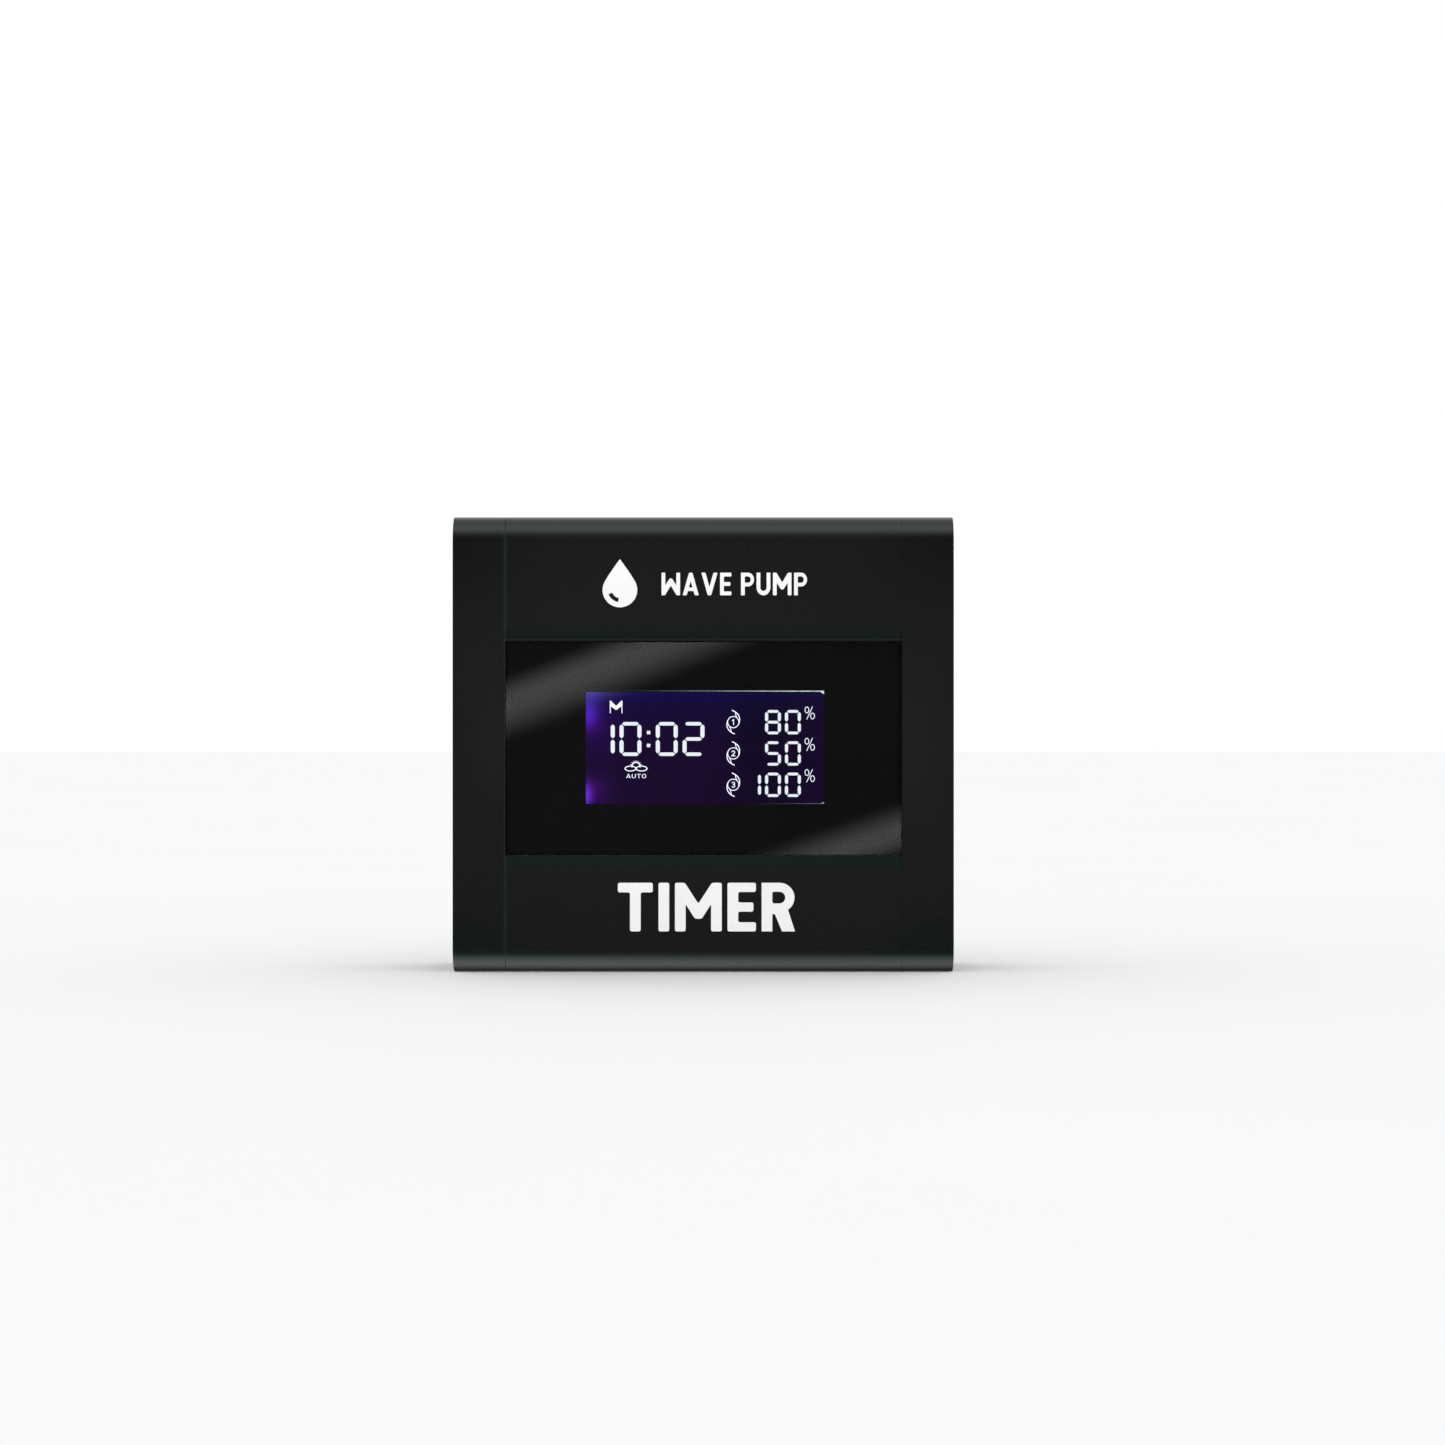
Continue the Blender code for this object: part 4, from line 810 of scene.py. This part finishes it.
def digit_loops(digit, left, bottom, width, height, across, along):
    """The strokes of one digit. across is how thick its upright strokes are, and along its level ones."""
    gap = 0.10
    x0, x1 = left + across / 2, left + width - across / 2
    z0, z1, z2 = bottom + along / 2, bottom + height / 2, bottom + height - along / 2

    def level(z):
        a, b, h = x0 + gap, x1 - gap, along / 2
        return [(a, z), (a + h, z - h), (b - h, z - h), (b, z), (b - h, z + h), (a + h, z + h)]

    def upright(x, low, high):
        a, b, h = low + gap, high - gap, across / 2
        return [(x, a), (x + h, a + h), (x + h, b - h), (x, b), (x - h, b - h), (x - h, a + h)]

    strokes = {
        "a": level(z2), "g": level(z1), "d": level(z0),
        "b": upright(x1, z1, z2), "c": upright(x1, z0, z1),
        "e": upright(x0, z0, z1), "f": upright(x0, z1, z2),
    }
    return [round_off(strokes[letter], 0.16) for letter in DIGITS[digit]]


def ring(centre, outer, inner, steps=40):
    """A ring, or an oval one, as two loops. outer and inner are half-widths and half-heights."""
    return [
        [(centre[0] + x * half[0], centre[1] + z * half[1]) for x, z in circle((0, 0), 1, steps)]
        for half in (outer, inner)
    ]


def stroke(points, widths):
    """A line of changing width with round ends, as one loop."""
    points = [Vector(p) for p in points]
    tangents = []
    for i in range(len(points)):
        along = points[min(i + 1, len(points) - 1)] - points[max(i - 1, 0)]
        tangents.append(along.normalized())
    count = len(points) - 1
    halves = [(widths[0] + (widths[1] - widths[0]) * i / count) / 2 for i in range(count + 1)]
    left = [p + Vector((-t.y, t.x)) * h for p, t, h in zip(points, tangents, halves)]
    right = [p - Vector((-t.y, t.x)) * h for p, t, h in zip(points, tangents, halves)]
    start, end = [math.degrees(math.atan2(t.y, t.x)) for t in (tangents[0], tangents[-1])]
    cap = arc(points[-1], halves[-1], end + 90, end - 90, 8)[1:-1]
    foot = arc(points[0], halves[0], start - 90, start - 270, 8)[1:-1]
    return [tuple(p) for p in left] + cap + [tuple(p) for p in reversed(right)] + foot


def curve(start, middle, end, steps=14):
    """Points on a curve from start to end, pulled towards the middle."""
    shares = [i / steps for i in range(steps + 1)]
    handles = tuple(zip(start, middle, end))
    return [tuple(a * (1 - t) ** 2 + b * 2 * t * (1 - t) + c * t**2 for a, b, c in handles) for t in shares]


def turned_by(loop, centre, turn):
    """A loop round (0, 0), turned and moved to a centre."""
    cos, sin = math.cos(turn), math.sin(turn)
    return [(centre[0] + x * cos - z * sin, centre[1] + x * sin + z * cos) for x, z in loop]


def fused(name, groups, look, front, thickness=LAYER):
    """Layers that overlap, joined into one. Each is a hair thicker than the one before it."""
    first, *others = [
        flat(f"{name}_{i}" if i else name, loops, look, front, thickness * (1 + 0.04 * i))
        for i, loops in enumerate(groups)
    ]
    return join(first, *others) if others else first


def numeral(number, centre, height, width):
    """The strokes of a plain 1, 2 or 3, as groups of loops."""
    lines = {
        1: [[(-0.40, 0.56), (0.02, 0.82), (0.10, 0.96)], [(0.10, 1), (0.10, -1)]],
        2: [arc((0, 0.42), 0.54, 165, -40, 16) + [(-0.50, -0.86)], [(-0.58, -0.92), (0.62, -0.92)]],
        3: [arc((0, 0.46), 0.48, 150, -92, 16), arc((0, -0.44), 0.54, 92, -150, 16)],
    }[number]
    half = height / 2 - width / 2
    placed = [[(centre[0] + x * half, centre[1] + z * half) for x, z in line] for line in lines]
    return [[stroke(line, (width, width))] for line in placed]


# Each figure of the clock with its left edge, and each row's speed with its lower edge.
CLOCK = ((-22.11, "1"), (-16.77, "0"), (-9.51, "0"), (-4.15, "2"))
CLOCK_BOTTOM = 43.14
SPEEDS = ((47.48, " 80"), (41.21, " 50"), (34.94, "100"))
SPEED_LEFT, SPEED_PITCH = 8.38, 3.985
# A figure's width and height, and how thick its upright and its level strokes are.
CLOCK_FIGURE = (4.40, 6.80, 0.82, 0.71)
SPEED_FIGURE = (3.19, 4.86, 0.63, 0.55)


def make_display():
    """The lit display: its glass and ground, the strokes and signs on it, and glowing strips painted as
    highlights at its edges.
    """
    show(soften(block("display_glass_plate", LCD_LOW, LCD_HIGH, "glass"), 0.12, 2), "lcd_violet", "lcd_glass")
    show(flat("display_ground_layer", [rectangle(*LIT)], "ground", GROUND_Y), "lcd_violet")

    def sign(name, *groups, look="symbols"):
        show(fused(name, groups, look, SIGNS_Y), "backlight_white")

    for number, (left, digit) in enumerate(CLOCK, 1):
        sign(f"clock_digit_{number}", digit_loops(digit, left, CLOCK_BOTTOM, *CLOCK_FIGURE), look="segments")
    for number, z in enumerate((47.84, 45.24), 1):
        dot = rounded((-11.30, z - 0.34), (-10.60, z + 0.34), 0.12, 3)
        sign(f"clock_dot_{number}", [dot], look="segments")
    arm = stroke(curve((1.13, -0.30), (1.72, 1.55), (-0.20, 2.34)), (0.17, 0.20))
    strut = stroke(curve((0.72, 0.90), (0.50, 1.25), (0.42, 1.95)), (0.15, 0.15))
    for row, (bottom, figures) in enumerate(SPEEDS, 1):
        loops = []
        for i, digit in enumerate(figures):
            if digit != " ":
                loops += digit_loops(digit, SPEED_LEFT + SPEED_PITCH * i, bottom, *SPEED_FIGURE)
        sign(f"speed_value_{row}", loops, look="segments")
        top = bottom + 4.90
        percent = ring((20.75, top - 0.02), (0.46, 0.66), (0.32, 0.52), 28)
        percent += ring((21.87, top - 1.24), (0.46, 0.66), (0.32, 0.52), 28)
        percent.append(stroke([(20.72, top - 1.90), (21.86, top + 0.60)], (0.13, 0.13)))
        sign(f"speed_percent_{row}", percent)
        centre = (6.01, bottom + 2.44)
        arms = [[turned_by(loop, centre, turn)] for turn in (0, math.pi) for loop in (arm, strut)]
        sign(f"pump_sign_{row}", ring(centre, (1.20, 1.20), (1.05, 1.05)), *arms)
        sign(f"pump_sign_number_{row}", *numeral(row, centre, 1.22, 0.16))
    sign("mode_letter", words("M", (-18.70, 51.70), (-16.20, 54.22), 0.65))
    sign("mode_word", words("AUTO", (-15.45, 38.70), (-11.45, 39.54), 1.25, 1.9, 0.1))
    sun = (-13.47, 41.05)
    inner, outer = [arc(sun, radius, 20, 160, 6) for radius in (0.78, 1.12)]
    rays = [stroke(ends, (0.16, 0.12)) for ends in zip(inner, outer)]
    puffs = [ring((x, 40.62), (1.18, 0.58), (0.97, 0.40), 36) for x in (-14.57, -12.35)]
    sign("mode_cloud", [stroke(arc(sun, 0.80, -8, 188, 22), (0.18, 0.18))], rays, *puffs)
    make_edge_lights()


def make_edge_lights():
    """Glowing strips painted as highlights along the top of the display's glass and at its lower right."""
    x0, z0, x1, z1 = LIT
    LOOKS["edge_top"] = edge_light_material("edge_light_top", x0, x1, (0.02, 0.80))
    LOOKS["edge_low"] = edge_light_material("edge_light_low", x0 + 30, x1, (0, 0.30))
    upper = [(x0 + 1, z1 + 0.28), (x1 - 8, z1 + 0.10), (x1 - 0.9, z1 + 0.08), (x1 - 0.35, z1 - 0.32),
             (x1 - 0.10, z1 - 0.42), (x1 - 0.02, z1 + 0.52), (x0 + 1, z1 + 0.48)]
    low = [(x0 + 28, z0 - 0.02), (x1 - 0.1, z0 - 0.02), (x1 - 0.1, z0 + 0.5), (x1 - 0.9, z0 + 0.14),
           (x0 + 28, z0 + 0.08)]
    for name, loop, look in (("edge_light_upper", upper, "edge_top"), ("edge_light_lower", low, "edge_low")):
        show(flat(name, [loop], look, SIGNS_Y), "backlight_white")


def make_socket(number, z):
    """A keyed round socket with a softened collar, its insert and three rounded pins."""
    shell = [
        (4.6, 0.55), (5, 0.14), (5.85, 0.10), (6, 0.25), (6, 2.8), (7.5, 2.8), (7.5, 4.3), (6, 4.3),
        (6, 14), (4.6, 14),
    ]
    body = turned(f"pump_socket_shell_{number}", shell, inwards(1, z), "socket", 96)
    key = block("key", (END - 9.7, MIDDLE - 0.8, z + 3.7), (END - 3.2, MIDDLE + 0.8, z + 5.4))
    join(body, key)
    show(soften(body, 0.12, 2), "socket_black", f"pump_socket_{number}")
    disc = [(0, 10), (4.1, 10), (4.3, 10.2), (4.3, 14.6), (0, 14.6)]
    insert = turned(f"pump_socket_insert_{number}", disc, inwards(1, z), "insert", 64)
    places = [inwards(1, height, y) for y, height in arc((MIDDLE, z), 2.2, 90, 330, 2)]
    rim = [(0, 9), (0.75, 9), (0.75, 10.25), (0, 10.25)]
    cut(insert, *[turned("rim", rim, place) for place in places])
    show(soften(insert, 0.06, 2), "brass_gold", f"pump_contacts_{number}")
    pin = [(0, 5), (0.22, 5.04), (0.40, 5.18), (0.5, 5.45), (0.5, 10.6), (0, 10.6)]
    for i, place in enumerate(places, 1):
        show(turned(f"pump_pin_{number}_{i}", pin, place, "gold", 32), "brass_gold")
    tail = block(f"pump_socket_tail_{number}", (29, 2.1, z - 3), (END - 14.7, 2.8, z + 3), "gold")
    show(soften(tail, 0.08, 2), "brass_gold")


def make_jack():
    """The barrel socket for the power plug."""
    shell = [
        (3.2, 0.6), (3.65, 0.14), (5.3, 0.10), (5.5, 0.30), (5.5, 2.8), (7, 2.8), (7, 4.3), (5.5, 4.3),
        (5.5, 11.5), (3.2, 11.5),
    ]
    body = turned("power_jack_shell", shell, inwards(-1, JACK_Z), "socket", 96)
    show(soften(body, 0.12, 2), "socket_black", "power_jack")
    disc = [(0, 9), (2.8, 9), (2.9, 9.1), (2.9, 12.1), (0, 12.1)]
    insert = turned("power_jack_insert", disc, inwards(-1, JACK_Z), "insert", 64)
    show(soften(insert, 0.05, 2), "steel_bright", "jack_contact")
    pin = [(0, 1.5), (0.55, 1.53), (0.85, 1.66), (1, 1.86), (1.05, 2.2), (1.05, 9.6), (0, 9.6)]
    show(turned("power_jack_pin", pin, inwards(-1, JACK_Z), "steel", 48), "steel_bright")


def make_button():
    """The pairing button, dished and rounded at its rim."""
    profile = [
        (0, 0.52), (0.8, 0.50), (1.6, 0.42), (2.2, 0.30), (2.55, 0.22), (2.75, 0.22), (2.9, 0.28),
        (2.98, 0.40), (3, 0.60), (3, 2.9), (4.2, 2.9), (4.2, 3.7), (1.5, 3.7), (1.5, 11.4), (0, 11.4),
    ]
    button = turned("pairing_button", profile, inwards(-1, BUTTON_Z), "button", 64)
    show(soften(button, 0.08, 2, 60), "button_grey", "pair_button", body="button")


def make_tray():
    """The coin cell tray with its nail notch, and the cell."""
    face_rear = -END + 0.9
    tray = prism("cell_tray", tray_section(TRAY_BODY, 0, 0.2), "X", face_rear - 0.3, face_rear + TRAY_LENGTH)
    join(tray, prism("face", tray_section(TRAY_FACE, 0, 0.9), "X", -END + SKIN, face_rear))
    pocket = prism("pocket", circle((CELL_X, TRAY_Z), 10.3, 96), "Y", FRONT, MIDDLE + 1.4)
    notch = prism("notch", circle((-END - 2.95, TRAY_Z), 3.4, 48), "Y", MIDDLE - 1.2, MIDDLE + 1.2)
    cut(tray, pocket, notch)
    show(soften(tray, 0.10, 2), "case_black", "coin_cell_tray", body="coin_tray")
    place = Matrix.Translation((CELL_X, span("coin_cell")[0].y, TRAY_Z))
    place = place @ Matrix.Rotation(math.radians(-90), 4, "X")
    profile = [
        (0, 0), (8.3, 0), (8.6, 0.08), (8.75, 0.35), (9.7, 0.35), (9.9, 0.45), (10, 0.7), (10, 2.9),
        (9.85, 3.12), (9.6, 3.2), (0, 3.2),
    ]
    cell = turned("coin_cell_body", profile, place, "cell", 128)
    show(cell, "steel_bright", "coin_cell", body="coin_tray")


def droplet(centre, height):
    """A drop of water: a round belly under a point, with a curved glint cut out of it."""
    radius = height * 0.36
    middle = (centre[0], centre[1] - height / 2 + radius)
    tip = (centre[0], centre[1] + height / 2)
    belly = arc(middle, radius, -205, 25, 40)
    right, left = [(middle[0] + side * radius * 0.62, middle[1] + radius * 0.95) for side in (1, -1)]
    sides = curve(belly[-1], right, tip, 10)[1:] + curve(tip, left, belly[0], 10)[1:-1]
    glint = arc(middle, radius * 0.70, 200, 262, 14) + arc(middle, radius * 0.46, 262, 200, 14)
    return [belly + sides, glint]


def print_front():
    """White printing above and below the window."""
    for name, loops in (
        ("print_drop", droplet((-16.6, 77.6), 9.6)),
        ("print_upper_word", words("WAVE PUMP", (-8.3, 75.2), (20.7, 79.7), 1.9, 1.3)),
        ("print_lower_word", words("TIMER", (-17, 8.2), (18.2, 17.9), 2.15, 1.15)),
    ):
        show(flat(name, loops, "ink", FRONT + INSET, SKIN), "case_black")


def end_print(name, side, *groups):
    """Grey printing on an end face, drawn as if it faced the front. Its X becomes the depth."""
    made = fused(name, groups, "grey_ink", -SKIN / 2, SKIN)
    made.data.transform(Matrix.Rotation(math.radians(90 * side), 4, "Z"))
    made.data.transform(Matrix.Translation((side * (END - INSET - SKIN / 2) * MM, MIDDLE * MM, 0)))
    show(made, "case_black")


def print_ends():
    """Small signs beside the sockets, the jack, the button and the tray."""
    for number, z in enumerate(SOCKET_HEIGHTS, 1):
        end_print(f"print_socket_number_{number}", 1, *numeral(number, (-11, z), 3.4, 0.55))
    z = JACK_Z + 10.2
    end_print("print_jack_line", -1, [rectangle(-1.5, z - 0.16, 1.5, z + 0.16)])
    z = JACK_Z + 9.3
    dashes = [rectangle(x - 0.33, z - 0.144, x + 0.33, z + 0.144) for x in (-1.15, 0, 1.15)]
    end_print("print_jack_dashes", -1, dashes)
    centre = (0, BUTTON_Z + 7.6)
    end_print("print_button_ring", -1, [circle(centre, 0.55, 24)])
    waves = []
    for radius in (1.15, 1.85):
        for middle in (0, 180):
            outer = arc(centre, radius + 0.15, middle - 42, middle + 42, 14)
            waves.append(outer + arc(centre, radius - 0.15, middle + 42, middle - 42, 14))
    end_print("print_button_waves", -1, waves)
    quarter = [(-0.2, -0.2), (-0.2, -1), (0.2, -1)]
    plus = [point for i in range(4) for point in turned_by(quarter, (7.4, TRAY_Z), i * math.pi / 2)]
    end_print("print_tray_plus", -1, [plus])
    end_print("print_tray_disc", -1, ring((-7.4, TRAY_Z), (1.25, 1.25), (0.95, 0.95)))


INSIDE = {
    "window_mask": "mask", "lcd_frame": "frame", "lcd_zebra_strip": "rubber", "lcd_backlight": "diffuser",
    "display_board": "board", "main_board": "board", "board_header": "chip", "microcontroller": "chip",
    "radio_module": "steel", "motor_driver": "chip", "power_inductor": "chip", "bulk_capacitor": "wrap",
    "fuse": "fuse_glass", "pair_switch": "chip", "coin_cell_holder": "chip", "coin_cell_contact": "gold",
    "board_standoff": "gold", "board_screw": "steel", "left_gasket": "rubber", "right_gasket": "rubber",
}


def finish_inside():
    """Gives the CAD nodes that stay their finishes."""
    for node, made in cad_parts.items():
        if made.hide_render:
            continue
        look = INSIDE.get(node) or INSIDE[node.rsplit("_", 1)[0]]
        made.data.materials.clear()
        made.data.materials.append(LOOKS[look])


def stage_object(name, corners, look):
    """A flat part of the studio, with its corners in millimetres."""
    shape = bmesh.new()
    shape.faces.new([shape.verts.new([c * MM for c in corner]) for corner in corners])
    made = linked(name, shape, look)
    return made


def floor_material():
    """Pale floor. In reflections it is dark, with a lit strip along the foot of the case."""
    graph = material("pale_floor")
    x, y, _ = graph.axes()

    def step(start, end, low=0, high=1):
        """A smooth step between two places, measured in depth from the case's front."""
        return graph.ramp(y, (FRONT + start) * MM, (FRONT + end) * MM, low, high)

    strip = graph.times(step(-4.4, 1.2, 0.14, 1.65), step(1.2, 4, 1, 0.06))
    fading = graph.times(step(-24, -6, 0.38, 1), graph.ramp(x, -50 * MM, 60 * MM, 1.08, 0.88))
    tint = graph.mix(step(-24, -8), (1, 1, 1), (0.60, 1, 0.90))
    tint = graph.mix(step(-3, 1.5), tint, (0.96, 1, 0.99))
    glow = graph.node("Emission", {"Color": tint, "Strength": graph.times(strip, fading)})
    plain = graph.node("BsdfPrincipled", {
        "Roughness": 0.9,
        "Specular IOR Level": 0.1,
        "Base Color": graph.mottle(6, 3, (0.808, 0.808, 0.808), (0.814, 0.814, 0.814)),
    })
    mirrored = graph.node("LightPath").outputs["Is Glossy Ray"]
    in_front = graph.times(mirrored, graph.ramp(y, 0, 60 * MM, 1, 0))
    return graph.end(graph.node("MixShader", {0: in_front, 1: plain.outputs[0], 2: glow.outputs[0]}))


def make_world():
    """A white studio. Reflections see a dark front, a lit ceiling that ends above the case, a lit back."""
    world = bpy.data.worlds.new("studio")
    bpy.context.scene.world = world
    graph = Graph(world)
    x, y, z = graph.node("SeparateXYZ", {0: graph.node("TexCoord").outputs["Generated"]}).outputs
    ceiling = graph.times(graph.ramp(z, 0.58, 0.93, 0, 1.5), graph.ramp(y, -0.35, 0.15, 1, 0.5))
    back = graph.ramp(y, 0.45, 0.72)
    sides = graph.ramp(graph.math("ABSOLUTE", x), 0.80, 0.95, 0, 0.8)
    total = graph.math("MAXIMUM", graph.math("MAXIMUM", ceiling, back), graph.math("MAXIMUM", sides, 0.055))
    tint = graph.mix(graph.ramp(y, -0.95, -0.7), (1, 1, 1), (0.90, 1, 0.98))
    tint = graph.mix(graph.ramp(y, 0.55, 0.8), tint, (0.96, 0.96, 1))
    mirrored = graph.node("Background", {"Color": tint, "Strength": total}).outputs[0]
    path = graph.node("LightPath").outputs
    level = graph.ramp(path["Is Diffuse Ray"], 0, 1, 1, 1.2)
    seen = graph.node("Background", {"Color": (1, 1, 1), "Strength": level}).outputs[0]
    graph.end(graph.node("MixShader", {0: path["Is Glossy Ray"], 1: seen, 2: mirrored}), "OutputWorld")


# The camera looks straight at the front, a little right of the case's middle.
EYE = Vector((3.85, FRONT - 800, 49.84))
LENS = 100
SENSOR = 36
# The window mirrors two soft stripes. Each has a point on the window that its brightest line passes, its
# slope, how far its light reaches below and above that line, and its level.
STRIPES = (
    ((-23, 60.2), 21.2, (8.2, 5.6), 1.28),
    ((34, 26), 19, (5.4, 6.3), 1.26),
)
# The card that makes them: its distance from the window, where its light starts to fade to either side,
# its half width, and its lower and upper edge.
CARD_DISTANCE = 600
CARD_FADE = 70
CARD_REACH = 112
CARD_HEIGHTS = (1, 95)
FLOOR_REACH = 6000


def make_stripe_card():
    """A card of light between the window and the camera, which only reflections see."""
    window_y = span("display_window")[0].y
    k = CARD_DISTANCE / (window_y - EYE.y)
    graph = material("stripe_card_light")
    x, _, z = graph.axes()
    # The point of the window in which the camera sees a point of the card.
    pairs = ((x, EYE.x), (z, EYE.z))
    u, v = [graph.math("MULTIPLY_ADD", axis, 1 / (1 + k), eye * MM * k / (1 + k)) for axis, eye in pairs]
    total = 0
    for through, slope, (below, above), level in STRIPES:
        cos, sin = math.cos(math.radians(slope)), math.sin(math.radians(slope))
        across = graph.times(graph.math("SUBTRACT", u, through[0] * MM), -sin)
        across = graph.math("MULTIPLY_ADD", graph.math("SUBTRACT", v, through[1] * MM), cos, across)
        rise = graph.ramp(across, -below * MM, 0, 0, level)
        total = graph.math("MULTIPLY_ADD", rise, graph.ramp(across, 0, above * MM, 1, 0), total)
    ends = graph.ramp(graph.math("ABSOLUTE", x), CARD_FADE * MM, CARD_REACH * MM, 1, 0)
    glow = graph.node("Emission", {"Strength": graph.times(total, ends)}).outputs[0]
    look = graph.end(graph.node("AddShader", {0: glow, 1: graph.node("BsdfTransparent").outputs[0]}))
    y = window_y - CARD_DISTANCE
    low, high = CARD_HEIGHTS
    corners = [(-CARD_REACH, y, low), (CARD_REACH, y, low), (CARD_REACH, y, high), (-CARD_REACH, y, high)]
    card = stage_object("stripe_card", corners, look)
    for rays in ("camera", "diffuse", "transmission", "shadow", "volume_scatter"):
        setattr(card, f"visible_{rays}", False)


def make_camera():
    camera = bpy.data.cameras.new("camera")
    camera.lens = LENS
    camera.sensor_width = SENSOR
    camera.clip_start, camera.clip_end = 0.01, 50
    made = bpy.data.objects.new("camera", camera)
    made.location = EYE * MM
    made.rotation_euler = (math.radians(90), 0, 0)
    bpy.context.scene.collection.objects.link(made)
    bpy.context.scene.camera = made


def make_studio():
    r = FLOOR_REACH
    stage_object("floor", [(-r, -r, 0), (r, -r, 0), (r, r, 0), (-r, r, 0)], floor_material())
    make_stripe_card()
    make_world()
    make_camera()
    settings = bpy.context.scene.view_settings
    settings.view_transform = "Standard"
    settings.look = "None"


make_sleeve()
for end_side in (-1, 1):
    make_cap(end_side)
make_screws()
make_pads()
make_window()
make_display()
for socket_number, socket_z in enumerate(SOCKET_HEIGHTS, 1):
    make_socket(socket_number, socket_z)
make_jack()
make_button()
make_tray()
print_front()
print_ends()
finish_inside()
make_studio()
